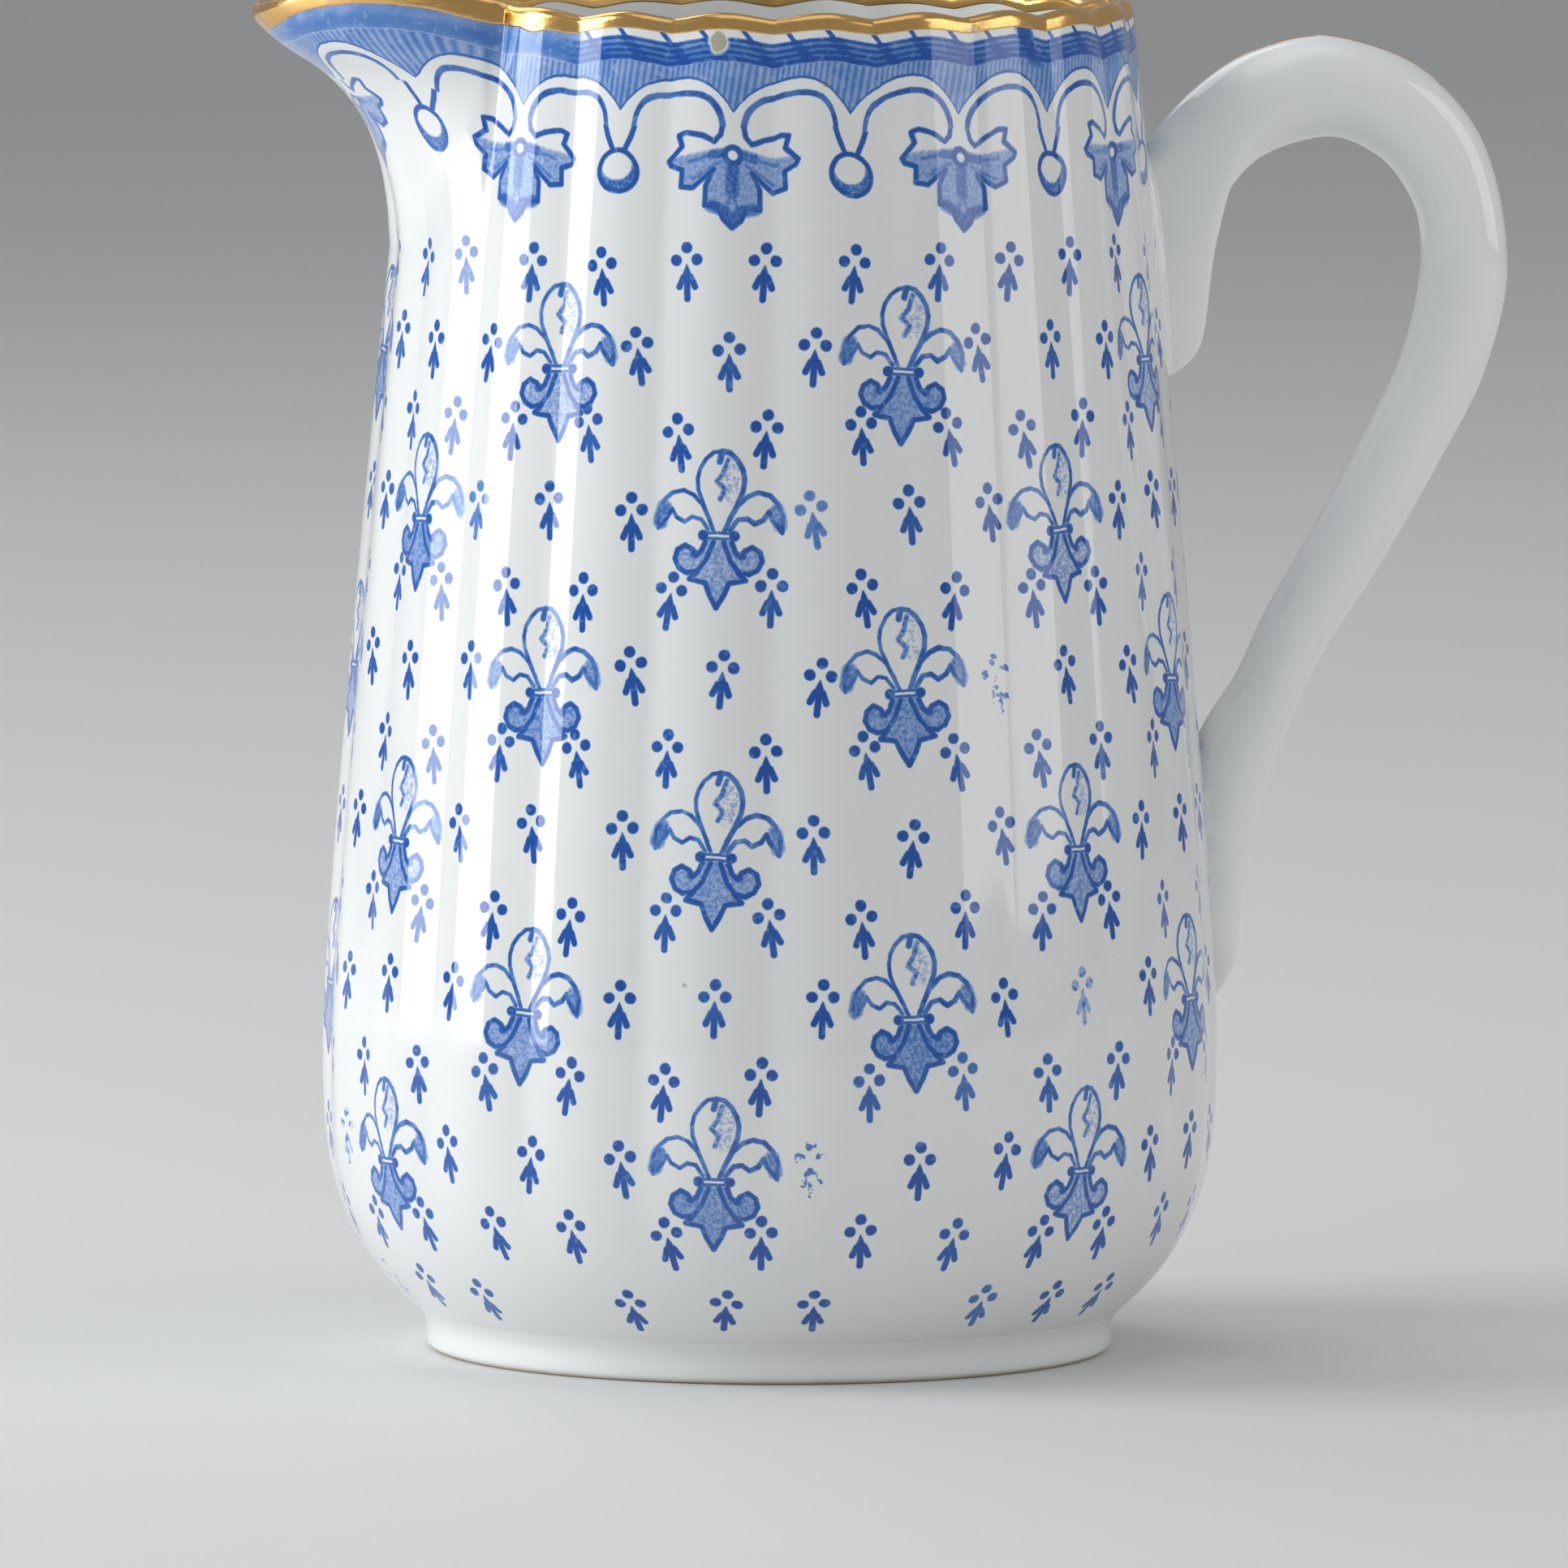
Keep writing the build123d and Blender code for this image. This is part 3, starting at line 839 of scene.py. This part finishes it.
def ink_film_group():
    """Turns the amount of ink into the print's colour. The film is mottled, breaks up in
    places and bleeds a little into the glaze."""
    inputs = [("Ink", "Float", None), ("Place", "Vector", None)]
    inputs += [(name, "Color", None) for name in ("China", "Thin", "Middle", "Full")]
    tree, b, given, out = new_group("ink_film", inputs, [("Color", "Color")])
    fine = b.noise(given["Place"], 5200.0, 2.0, 0.6)
    broad = b.noise(given["Place"], 420.0, 3.0, 0.6)
    strength = b.add(0.80, b.add(b.mul(fine, 0.22), b.mul(broad, 0.24)))
    breaks = b.step(0.30, 0.42, b.noise(given["Place"], 1500.0, 2.0, 0.5))
    ink = b.grained(b.mul(given["Ink"], strength), 0.72, 0.28, breaks)
    colour_now = given["China"]
    ranges = {"Thin": (0.0, 0.32), "Middle": (0.30, 0.66), "Full": (0.62, 1.0)}
    for stop, (low, high) in ranges.items():
        colour_now = b.blend(b.step(low, high, ink), colour_now, given[stop])
    b.put(out["Color"], colour_now)
    return tree


def glaze_group():
    """Clear glaze over white china: faint cloudiness, rare specks, a soft ripple, and
    pinholes. Puts out the body colour, the roughness and a height for a Bump node."""
    inputs = [("Place", "Vector", None), ("Color", "Color", None), ("Specks", "Float", 1.0)]
    outputs = [("Color", "Color"), ("Roughness", "Float"), ("Height", "Float")]
    tree, b, given, out = new_group("glaze", inputs, outputs)
    at = given["Place"]
    cloud = b.noise(at, 60.0, 3.0, 0.55)
    tinted = b.blend(b.mul(b.step(0.35, 0.7, cloud), 0.5), given["Color"], CLOUD_TINT, "MULTIPLY")
    cells = b.node("ShaderNodeTexVoronoi", {"Vector": at, "Scale": 170.0}).outputs
    speck_chance, pit_chance, _ = b.split(cells["Color"])
    speck = b.mul(b.step(0.05, 0.02, cells["Distance"]), b.step(0.975, 0.985, speck_chance))
    speck = b.mul(speck, given["Specks"])
    b.put(out["Color"], b.blend(b.mul(speck, 0.55), tinted, IRON_SPECK))
    smears = b.noise(at, 45.0, 4.0, 0.6)
    b.put(out["Roughness"], b.add(0.05, b.mul(b.step(0.45, 0.8, smears), 0.07)))
    ripple = b.noise(at, 240.0, 2.0, 0.5)
    slow = b.noise(at, 70.0, 1.0, 0.5)
    pits = b.mul(b.step(0.07, 0.02, cells["Distance"]), b.step(0.93, 0.94, pit_chance))
    b.put(out["Height"], b.sub(b.add(slow, b.mul(ripple, 0.18)), b.mul(pits, 0.5)))
    return tree


def gilding_group():
    """Fired gold: brushed on, bright where it is thick, and rubbed thin in patches. Wear
    is from zero, new, to one. Puts out colour, roughness, how metallic it is and height."""
    inputs = [("Place", "Vector", None), ("Gold", "Color", None), ("Worn", "Color", None)]
    inputs += [("China", "Color", None), ("Wear", "Float", 0.3)]
    outputs = [("Color", "Color")]
    outputs += [(name, "Float") for name in ("Roughness", "Metallic", "Height")]
    tree, b, given, out = new_group("gilding", inputs, outputs)
    at = given["Place"]
    brush = b.noise(b.vector("MULTIPLY", at, (1.0, 1.0, 3.0)), 900.0, 3.0, 0.6)
    patches = b.noise(at, 330.0, 4.0, 0.65)
    rubbed = b.add(patches, b.swing(given["Wear"], 0.5))
    thin = b.step(0.44, 0.60, rubbed)
    bare = b.step(0.62, 0.70, rubbed)
    b.put(out["Color"], b.blend(bare, b.blend(thin, given["Gold"], given["Worn"]), given["China"]))
    b.put(out["Roughness"], b.add(b.add(0.14, b.mul(thin, 0.16)), b.mul(brush, 0.10)))
    b.put(out["Metallic"], b.sub(1.0, b.mul(bare, 0.95)))
    b.put(out["Height"], b.add(b.mul(brush, 0.5), patches))
    return tree


def once(name, make, *args):
    """The node group of that name, made the first time it is asked for."""
    return bpy.data.node_groups.get(name) or make(*args)


def new_material(name):
    """Material with a Principled shader; returns it with a bench, the shader and place."""
    material = bpy.data.materials.new(name)
    material.use_nodes = True
    bench = Bench(material.node_tree)
    shader = material.node_tree.nodes["Principled BSDF"]
    place_at = bench.node("ShaderNodeTexCoord").outputs["Object"]
    return material, bench, shader, place_at


def glazed(bench, shader, place_at, base, specks):
    """Finishes a shader as glossy glaze over a base colour."""
    glaze = bench.use(once("glaze", glaze_group), Place=place_at, Color=base, Specks=specks)
    bench.put(shader.inputs["Base Color"], glaze["Color"])
    bench.put(shader.inputs["Roughness"], glaze["Roughness"])
    bench.put(shader.inputs["Normal"], bench.relief(glaze["Height"], 0.25, 0.12 * MM))
    shader.inputs["IOR"].default_value = 1.52
    shader.inputs["Coat Weight"].default_value = 0.35
    shader.inputs["Coat Roughness"].default_value = 0.03


def rgba(colour_value):
    """A property's colour with full alpha."""
    return (*colour_value, 1.0)


def printed_china(colours):
    """White china with the blue print under its glaze."""
    material, b, shader, place_at = new_material("printed_china")
    spot = once("ermine_spot", ermine_spot_group)
    lily = once("lily", lily_group)
    leaf = once("hanging_leaf", leaf_group)
    ball = once("hanging_ball", ball_group)
    print_map = b.split(b.node("ShaderNodeUVMap", uv_map="print").outputs[0])
    edge_map = b.split(b.node("ShaderNodeUVMap", uv_map="edge").outputs[0])
    turn = print_map[0]
    x, y, _ = b.split(place_at)
    radius = b.mul(b.vector("LENGTH", b.join(x, y)), 1 / MM)
    wobble = b.swing(b.noise(place_at, 1100.0, 1.0, 0.5), 0.16)
    height = b.add(b.mul(print_map[1], MAP_SPAN), wobble)
    below = b.add(b.mul(edge_map[1], MAP_SPAN), wobble)
    scattered = once("scattered_print", scattered_print_group, spot, lily)
    bordered = once("border_print", border_print_group, leaf, ball)
    border = b.use(bordered, Turn=turn, Below=below, Radius=radius)
    ink = b.most(b.use(scattered, Turn=turn, Height=height, Radius=radius)["Ink"], border["Ink"])
    film = b.use(
        once("ink_film", ink_film_group),
        Ink=ink,
        Place=place_at,
        China=rgba(colours.china),
        Thin=rgba(colours.ink_light),
        Middle=rgba(colours.ink_middle),
        Full=rgba(colours.ink_dark),
    )
    flawed = b.blend(border["Flaw"], film["Color"], rgba(colours.flaw))
    glazed(b, shader, place_at, flawed, 1.0)
    return material


def plain_china(colours):
    """White glazed china with no print, in a lighter white than the printed body's: painted light that
    stands in for the brighter light on the handle and its slip.
    """
    material, b, shader, place_at = new_material("plain_china")
    # The lighter white here is painted light for the handle and slip, not a different china.
    glazed(b, shader, place_at, rgba(colours.china_painted_lighter), 0.6)
    return material


def foot_china(colours, tread_height):
    """Glazed sides with a bare, slightly gritty tread."""
    material, b, shader, place_at = new_material("foot_china")
    z = b.split(place_at)[2]
    edge = b.add(tread_height, b.swing(b.noise(place_at, 500.0, 3.0), 0.0004))
    bare = b.step(0.00015, -0.00015, b.sub(z, edge))
    grit = b.noise(place_at, 4000.0, 3.0, 0.7)
    base = b.blend(b.grained(bare, 0.6, 0.5, grit), rgba(colours.china), rgba(colours.biscuit))
    glazed(b, shader, place_at, base, 0.8)
    return material


def fired_gold(name, colours, wear):
    """Gilding with brush marks and wear."""
    material, b, shader, place_at = new_material(name)
    gold = b.use(
        once("gilding", gilding_group),
        Place=place_at,
        Gold=rgba(colours.gold),
        Worn=rgba(colours.gold_worn),
        China=rgba(colours.china),
        Wear=wear,
    )
    b.put(shader.inputs["Base Color"], gold["Color"])
    b.put(shader.inputs["Roughness"], gold["Roughness"])
    b.put(shader.inputs["Metallic"], gold["Metallic"])
    b.put(shader.inputs["Normal"], b.relief(gold["Height"], 0.35, 0.1 * MM))
    return material


# ---------------------------------------------------------------- pieces


def body_rings(shape, phi):
    """Rings of the wall, from the middle of the underside up the outside, over the rim and
    down the inside to the middle of the floor; and which rings are the outside's ends."""
    edge = rim_line(shape, phi) - shape.rim_wall / 2
    level = 0 * phi
    lip_foot = shape.rim_height - 25 * MM + level
    bowl_top = 30 * MM + level
    top = wall_profile(shape, phi, edge, lip_foot, 56, 1.25)
    low = wall_profile(shape, phi, lip_foot, bowl_top, 36, 1.0)
    bowl = wall_profile(shape, phi, bowl_top, shape.foot_height, 44, 0.85)
    outside, z = (np.vstack([top[k], low[k][1:], bowl[k][1:]]) for k in (0, 1))
    edge_radius, edge_z = rim_edge(*top, 10)
    inner_radius, inner_z = (
        np.vstack([top[k][::2], low[k][2::4], bowl[k][2:30:3]]) for k in (2, 3)
    )

    t = np.linspace(0, 1, 10)[1:, None]
    weights = ((1 - t) ** 2, 2 * t * (1 - t), t * t)
    corner_radius = 0.86 * shape.neck_radius
    flat_radius = 0.66 * shape.neck_radius
    radii = (inner_radius[-1], corner_radius, flat_radius)
    heights = (inner_z[-1], shape.floor_top, shape.floor_top)
    sweep_radius = sum(w * r for w, r in zip(weights, radii))
    sweep_z = sum(w * h for w, h in zip(weights, heights))
    flat = np.array([0.8, 0.55, 0.3, 0.1])[:, None] * flat_radius + level
    under = np.array([0.05, 0.3, 0.6, 0.86, 0.97])[:, None] * shape.neck_radius + level

    radius = np.vstack([under, outside[::-1], edge_radius, inner_radius, sweep_radius, flat])
    under_z = 0 * under + shape.foot_height
    flat_z = 0 * flat + shape.floor_top
    height = np.vstack([under_z, z[::-1], edge_z, inner_z, sweep_z, flat_z])
    return place(radius, phi, height), len(under), len(under) + len(outside)


def body_maps(shape, rows, first, last):
    """UV maps of the body. The print map holds the turn and the height, which follows the
    surface below the belly. The edge map holds the turn and the way down from the rim."""
    closed = np.concatenate([rows, rows[:, :1]], axis=1)
    along = np.zeros(closed.shape[:2])
    along[1:] = np.cumsum(np.linalg.norm(np.diff(closed, axis=0), axis=-1), axis=0)
    rim_row = last + 4
    inside_row = last + 6
    below = (along[rim_row] - along) / MM
    below[inside_row:] = OFF_EDGE
    below[:first] = OFF_EDGE
    belly = np.argmin(np.abs(closed[first:last, 0, 2] - shape.belly_height)) + first
    z_map = closed[..., 2] / MM
    bowl_map = z_map[belly] - (along[belly] - along) / MM
    level = np.where(np.arange(len(closed))[:, None] < belly, bowl_map, z_map)
    level[last:] = UNDER_PRINT
    level[:first] = UNDER_PRINT
    turn = np.broadcast_to(np.linspace(0, 1, closed.shape[1]), closed.shape[:2])
    share = along / along[-1]
    stops = [0, share[first].mean(), share[last].mean(), 1]
    bake = np.interp(share, stops, [0, 0.04, 0.76, 1])
    return {
        "OFBake": (turn, 0.005 + 0.99 * bake, (0.0, 1.0)),
        "print": (turn, level / MAP_SPAN, (UNDER_PRINT / MAP_SPAN,) * 2),
        "edge": (turn, below / MAP_SPAN, (OFF_EDGE / MAP_SPAN,) * 2),
    }


class JUG_OT_body(Operator):
    """Builds the fluted body with its lip, inside and floor as one closed wall"""

    bl_idname = "china_jug.body"
    bl_label = "Fluted body"

    def execute(self, context):
        shape = context.scene.jug_shape
        columns = shape.flute_count * 18
        rows, first, last = body_rings(shape, np.arange(columns) * TAU / columns)
        poles = (np.array([0, 0, shape.foot_height]), np.array([0, 0, shape.floor_top]))
        mesh = skin("fluted_body", rows, poles, maps=body_maps(shape, rows, first, last))
        material = printed_china(context.scene.jug_colours)
        nodes = ("body_wall", "pouring_lip", "base_floor")
        add_piece("fluted_body", mesh, material, "glazed_body", *nodes)
        return {"FINISHED"}


class JUG_OT_foot(Operator):
    """Builds the turned foot ring: a glazed hollow under the body and a flat tread"""

    bl_idname = "china_jug.foot"
    bl_label = "Foot ring"

    def execute(self, context):
        shape = context.scene.jug_shape
        high = shape.foot_height
        out = high_corner("foot_ring").x
        inner = out - 3.2 * MM
        outline = [
            (shape.neck_radius + 0.60 * MM, high + 1.0 * MM),
            (shape.neck_radius + 1.25 * MM, high + 1.15 * MM),
            (shape.neck_radius + 0.80 * MM, high + 0.50 * MM),
            (shape.neck_radius + 0.50 * MM, high),
            (shape.neck_radius + 0.34 * MM, 0.75 * high),
            (out, 0.30 * high),
            (out - 0.15 * MM, 0.14 * high),
            (out - 0.6 * MM, 0.02 * high),
            (out - 1.0 * MM, 0.0),
            (inner + 0.9 * MM, 0.0),
            (inner + 0.35 * MM, 0.08 * high),
            (inner, 0.35 * high),
            (inner - 0.2 * MM, 0.8 * high),
            (inner - 0.3 * MM, high + 0.1 * MM),
        ]
        radii, heights = np.array(outline).T
        stops = np.arange(len(outline))
        at = np.linspace(0, stops[-1], 61)
        radius = smooth_curve(at, stops, radii)
        z = np.maximum(smooth_curve(at, stops, heights), 0.0)
        phi = np.linspace(0, TAU, 288, endpoint=False)
        rows = place(radius[:, None] + 0 * phi, phi, z[:, None] + 0 * phi)
        mesh = skin("foot_ring_turned", rows, wrap=True)
        material = foot_china(context.scene.jug_colours, 0.25 * MM)
        add_piece("foot_ring_turned", mesh, material, "unglazed_foot", "foot_ring")
        return {"FINISHED"}


def handle_grid(shape, rows, columns, grow=0.0):
    """Points of the strap: oval sections between the stations' inner and outer points,
    with a soft ridge each side of the spine. Columns start on the spine."""
    stations = np.array(HANDLE_STATIONS) * MM
    drops = stations[:, [1, 3]]
    reach = outer_radius(shape, shape.rim_height - drops) + stations[:, [0, 2]]
    middle = np.stack([reach.mean(1), drops.mean(1)], -1)
    travel = np.concatenate([[0], np.cumsum(np.linalg.norm(np.diff(middle, axis=0), axis=1))])
    at = np.linspace(0, travel[-1], rows)
    inner_x, outer_x = (smooth_curve(at, travel, reach[:, k]) for k in (0, 1))
    inner_z, outer_z = (shape.rim_height - smooth_curve(at, travel, drops[:, k]) for k in (0, 1))
    breadth = smooth_curve(at, travel, stations[:, 4])
    centre = np.stack([(inner_x + outer_x) / 2, (inner_z + outer_z) / 2], -1)
    half = np.stack([(outer_x - inner_x) / 2, (outer_z - inner_z) / 2], -1)
    unit = half / np.linalg.norm(half, axis=1, keepdims=True)
    theta = np.arange(columns) * TAU / columns
    ridge = np.exp(-(((np.abs((theta + math.pi) % TAU - math.pi) - 0.85) / 0.28) ** 2))
    swell = 1 + 0.035 * ridge
    out = np.sign(np.cos(theta)) * np.abs(np.cos(theta)) ** 0.92 * swell
    side = np.sin(theta) * swell
    grown = unit[:, None] * (grow * np.cos(theta))[None, :, None]
    section = centre[:, None] + (half[:, None] * out[None, :, None] + grown)
    y = breadth[:, None] / 2 * side + grow * np.sin(theta)
    return np.stack([section[..., 0], -y, section[..., 1]], -1)


class JUG_OT_handle(Operator):
    """Builds the loop handle as oval sections carried along its stations"""

    bl_idname = "china_jug.handle"
    bl_label = "Loop handle"

    def execute(self, context):
        shape = context.scene.jug_shape
        rows = handle_grid(shape, 260, 56)
        poles = (rows[0].mean(0), rows[-1].mean(0))
        mesh = skin("strap_handle", rows, poles)
        material = plain_china(context.scene.jug_colours)
        add_piece("strap_handle", mesh, material, "glazed_handle", "loop_handle")
        return {"FINISHED"}


def on_wall(shape, points):
    """Points moved straight in or out on to the wall's outside."""
    phi = np.arctan2(-points[..., 1], -points[..., 0])
    return place(wall_radius(shape, phi, points[..., 2]), phi, points[..., 2])


def slip_fillet(shape, grid):
    """Fillet of slip round a root of the handle: a curve from the strap, in to where it
    meets the wall, and out on to the wall, carried round the root."""
    phi = np.arctan2(-grid[..., 1], -grid[..., 0])
    proud = np.hypot(grid[..., 0], grid[..., 1]) - wall_radius(shape, phi, grid[..., 2])
    first = np.argmax(proud > 0, axis=0)
    columns = np.arange(grid.shape[1])
    before, after = grid[first - 1, columns], grid[first, columns]
    gap_before, gap_after = proud[first - 1, columns], proud[first, columns]
    share = (-gap_before / (gap_after - gap_before))[:, None]
    meet = before + (after - before) * share
    onward = np.minimum(first + 4, len(grid) - 1)
    strap_way = grid[onward, columns] - meet
    strap_way /= np.linalg.norm(strap_way, axis=1, keepdims=True)
    away = meet - meet.mean(0)
    radial = meet * (1, 1, 0)
    radial /= np.linalg.norm(radial, axis=1, keepdims=True)
    away -= radial * np.einsum("ij,ij->i", away, radial)[:, None]
    away /= np.linalg.norm(away, axis=1, keepdims=True)
    reach = shape.slip_reach
    high = meet + strap_way * reach
    low = on_wall(shape, meet + away * reach * 1.1)
    t = np.linspace(0, 1, 9)[:, None, None]
    lift = (radial + away) * 0.03 * MM
    bow = (1 - t) ** 2 * high + 2 * t * (1 - t) * (meet + lift) + t * t * low
    bow[1:-1] += lift * 0.5
    back = meet - (radial + away) * 0.25 * MM
    return np.concatenate([bow, back[None]], axis=0)


class JUG_OT_slip(Operator):
    """Builds the two fillets of slip that lute the handle to the wall"""

    bl_idname = "china_jug.slip"
    bl_label = "Slip joints"

    def execute(self, context):
        shape = context.scene.jug_shape
        grid = handle_grid(shape, 520, 72)
        material = plain_china(context.scene.jug_colours)
        material.name = "slip_china"
        roots = {"upper": grid[:260], "lower": grid[::-1][:260]}
        for name, rows in roots.items():
            mesh = skin(f"{name}_slip_fillet", slip_fillet(shape, rows), wrap=True)
            add_piece(f"{name}_slip_fillet", mesh, material, "glazed_slip", f"{name}_slip_joint")
        return {"FINISHED"}


def rim_gold_mesh(shape):
    """Film of gold over the rim, with a wavering lower edge that runs down by the creases."""
    columns = shape.flute_count * 26
    phi = np.arange(columns) * TAU / columns
    random = np.random.default_rng(7)
    waver = sum(
        random.uniform(0.3, 1.0) * np.cos(k * phi + random.uniform(0, TAU)) / k**0.5
        for k in (3, 7, 11, 17, 29, 41, 67, 97)
    )
    lip_share = ramp(0.75, 0.5, lip_angle(phi))
    crease = lip_half_angle(shape)
    run = np.exp(-(((lip_angle(phi) - crease - 0.16) / 0.09) ** 2))
    depth = shape.gilt_drop + 0.06 * MM * waver + 0.45 * MM * lip_share
    depth = depth + run * (0.45 + 0.2 * np.cos(45 * phi)) * MM
    edge = rim_line(shape, phi) - shape.rim_wall / 2
    bottom = edge - depth + 0.35 * MM
    outer = wall_profile(shape, phi, edge, bottom, 9, 1.0)
    edge_radius, edge_z = rim_edge(*outer, 12)
    inner_end = edge - 0.5 * MM + 0.12 * MM * np.cos(13 * phi)
    inner = wall_profile(shape, phi, edge, inner_end, 5, 1.0)
    radius = np.vstack([outer[0][::-1], edge_radius, inner[2]])
    height = np.vstack([outer[1][::-1], edge_z, inner[3]])
    face = place(radius, phi, height)
    normal = surface_normals(face)
    side = np.sign(np.sum(normal[0] * place(np.ones_like(phi), phi, 0 * phi)))
    normal = normal * side
    bulge = np.sin(np.linspace(0, math.pi, len(face)))[:, None, None] ** 0.5
    film = face + normal * shape.gilt_film * (0.15 + 2.0 * bulge)
    under = face - normal * shape.gilt_film * 2
    return skin("rim_gold", np.concatenate([film, under[::-1]]), wrap=True)


def handle_gold_mesh(shape):
    """Narrow ribbon of gold along the spine of the strap, over the CAD piece's stretch."""
    low, high = low_corner("handle_gilding"), high_corner("handle_gilding")
    spine = handle_grid(shape, 520, 120)[:, 0]
    along_top = (spine[:, 0] > low.x) & (spine[:, 0] < high.x) & (spine[:, 2] > low.z)
    stretch = np.flatnonzero(along_top)[::2]
    width = [-3, -2, -1, 0, 1, 2, 3]
    grown = handle_grid(shape, 520, 120, grow=shape.gilt_film)
    top = grown[np.ix_(stretch, width)]
    taper = np.sin(np.linspace(0, math.pi, len(stretch)))[:, None, None] ** 0.3
    middle = top[:, 3:4]
    top = middle + (top - middle) * (0.25 + 0.75 * taper)
    lower = top - (0, 0, 3 * shape.gilt_film)
    ribbon = np.concatenate([top, lower[:, ::-1]], axis=1)
    return skin("handle_gold", ribbon, (ribbon[0].mean(0), ribbon[-1].mean(0)))


class JUG_OT_gilding(Operator):
    """Builds the gilt band over the rim and lip, and the worn line on the handle"""

    bl_idname = "china_jug.gilding"
    bl_label = "Gilding"

    def execute(self, context):
        shape = context.scene.jug_shape
        colours = context.scene.jug_colours
        gold = fired_gold("rim_gold", colours, RIM_WEAR)
        mesh = rim_gold_mesh(shape)
        add_piece("rim_gold", mesh, gold, "rim_gold", "rim_gilding", "lip_gilding")
        gold = fired_gold("handle_gold", colours, HANDLE_WEAR)
        mesh = handle_gold_mesh(shape)
        add_piece("handle_gold", mesh, gold, "handle_gold", "handle_gilding")
        return {"FINISHED"}


def aim(place_at, target, roll=0.0):
    """Matrix that puts a thing at a place, with its -Z axis towards a target."""
    ahead = (Vector(target) - Vector(place_at)).normalized()
    right = ahead.cross(Vector((0, 0, 1))).normalized()
    up = right.cross(ahead)
    cosine, sine = math.cos(roll), math.sin(roll)
    axes = (right * cosine + up * sine, up * cosine - right * sine, -ahead)
    turned = Matrix(axes).transposed().to_4x4()
    return Matrix.Translation(place_at) @ turned


def direction(azimuth, elevation):
    """Unit vector from the jug. Azimuth zero is -Y and it grows towards +X, in radians."""
    flat = math.cos(elevation)
    return Vector((math.sin(azimuth) * flat, -math.cos(azimuth) * flat, math.sin(elevation)))


def softbox(name, azimuth, elevation, distance, width, height, power, tint, mirrored):
    """Rectangular light that faces the jug from an azimuth; zero is the camera's side."""
    data = bpy.data.lights.new(name, "AREA")
    data.shape = "RECTANGLE"
    data.size = width
    data.size_y = height
    data.energy = power
    data.color = tint
    lamp = bpy.data.objects.new(name, data)
    lamp.visible_camera = False
    lamp.visible_glossy = mirrored
    bpy.context.scene.collection.objects.link(lamp)
    out = direction(math.radians(azimuth), math.radians(elevation))
    target = Vector((0, 0, LIGHT_AIM_HEIGHT))
    lamp.matrix_world = aim(target + out * distance, target)


def add_floor(scene):
    """Wide pale floor under the jug."""
    bpy.ops.mesh.primitive_circle_add(vertices=96, radius=8, fill_type="NGON")
    floor = bpy.context.active_object
    floor.name = "studio_floor"
    material, b, shader, place_at = new_material("studio_floor")
    grain = b.noise(place_at, 30.0, 3.0)
    ground = b.blend(b.mul(grain, 0.06), rgba(scene.jug_colours.ground), GROUND_SHADE)
    b.put(shader.inputs["Base Color"], ground)
    shader.inputs["Roughness"].default_value = 0.7
    floor.data.materials.append(material)


def add_camera(scene):
    """Long-lens camera aimed at the middle of the jug."""
    data = bpy.data.cameras.new("camera")
    data.sensor_width = 36
    data.lens = CAMERA_LENS
    data.clip_end = 50
    camera = bpy.data.objects.new("camera", data)
    scene.collection.objects.link(camera)
    azimuth, elevation = math.radians(CAMERA_AZIMUTH), math.radians(CAMERA_ELEVATION)
    right = Vector((math.cos(azimuth), -math.sin(azimuth), 0))
    target = right * CAMERA_AIM_RIGHT + Vector((0, 0, CAMERA_AIM_HEIGHT))
    stand = target + direction(-azimuth, elevation) * CAMERA_DISTANCE
    camera.matrix_world = aim(stand, target, math.radians(CAMERA_ROLL))
    scene.camera = camera


class JUG_OT_stage(Operator):
    """Builds the pale floor, the studio light and the camera"""

    bl_idname = "china_jug.stage"
    bl_label = "Studio"

    def execute(self, context):
        scene = context.scene
        add_floor(scene)
        for name, settings in SOFTBOXES.items():
            softbox(name, *settings)
        world = bpy.data.worlds.new("studio")
        world.use_nodes = True
        backdrop = world.node_tree.nodes["Background"]
        backdrop.inputs["Color"].default_value = SKY
        backdrop.inputs["Strength"].default_value = SKY_STRENGTH
        scene.world = world
        add_camera(scene)
        scene.view_settings.view_transform = "Standard"
        return {"FINISHED"}


class JUG_PT_panel(Panel):
    """Lists the pieces of the jug"""

    bl_idname = "JUG_PT_panel"
    bl_label = "China cream jug"
    bl_space_type = "VIEW_3D"
    bl_region_type = "UI"
    bl_category = "China jug"

    def draw(self, context):
        layout = self.layout
        for operator in OPERATORS:
            layout.operator(operator.bl_idname)
        for settings in (context.scene.jug_shape, context.scene.jug_colours):
            box = layout.box()
            for name in settings.__annotations__:
                box.prop(settings, name)


OPERATORS = (JUG_OT_body, JUG_OT_foot, JUG_OT_handle, JUG_OT_slip, JUG_OT_gilding, JUG_OT_stage)
CLASSES = (JugShape, JugColours, *OPERATORS, JUG_PT_panel)


def register():
    """Registers the classes and hangs the settings on the scene."""
    for item in CLASSES:
        bpy.utils.register_class(item)
    bpy.types.Scene.jug_shape = PointerProperty(type=JugShape)
    bpy.types.Scene.jug_colours = PointerProperty(type=JugColours)


def unregister():
    """Takes the settings and the classes away again."""
    del bpy.types.Scene.jug_colours
    del bpy.types.Scene.jug_shape
    for item in reversed(CLASSES):
        bpy.utils.unregister_class(item)


def main():
    """Builds every piece in order."""
    register()
    bpy.ops.china_jug.body()
    bpy.ops.china_jug.foot()
    bpy.ops.china_jug.handle()
    bpy.ops.china_jug.slip()
    bpy.ops.china_jug.gilding()
    bpy.ops.china_jug.stage()


if __name__ == "__main__":
    main()
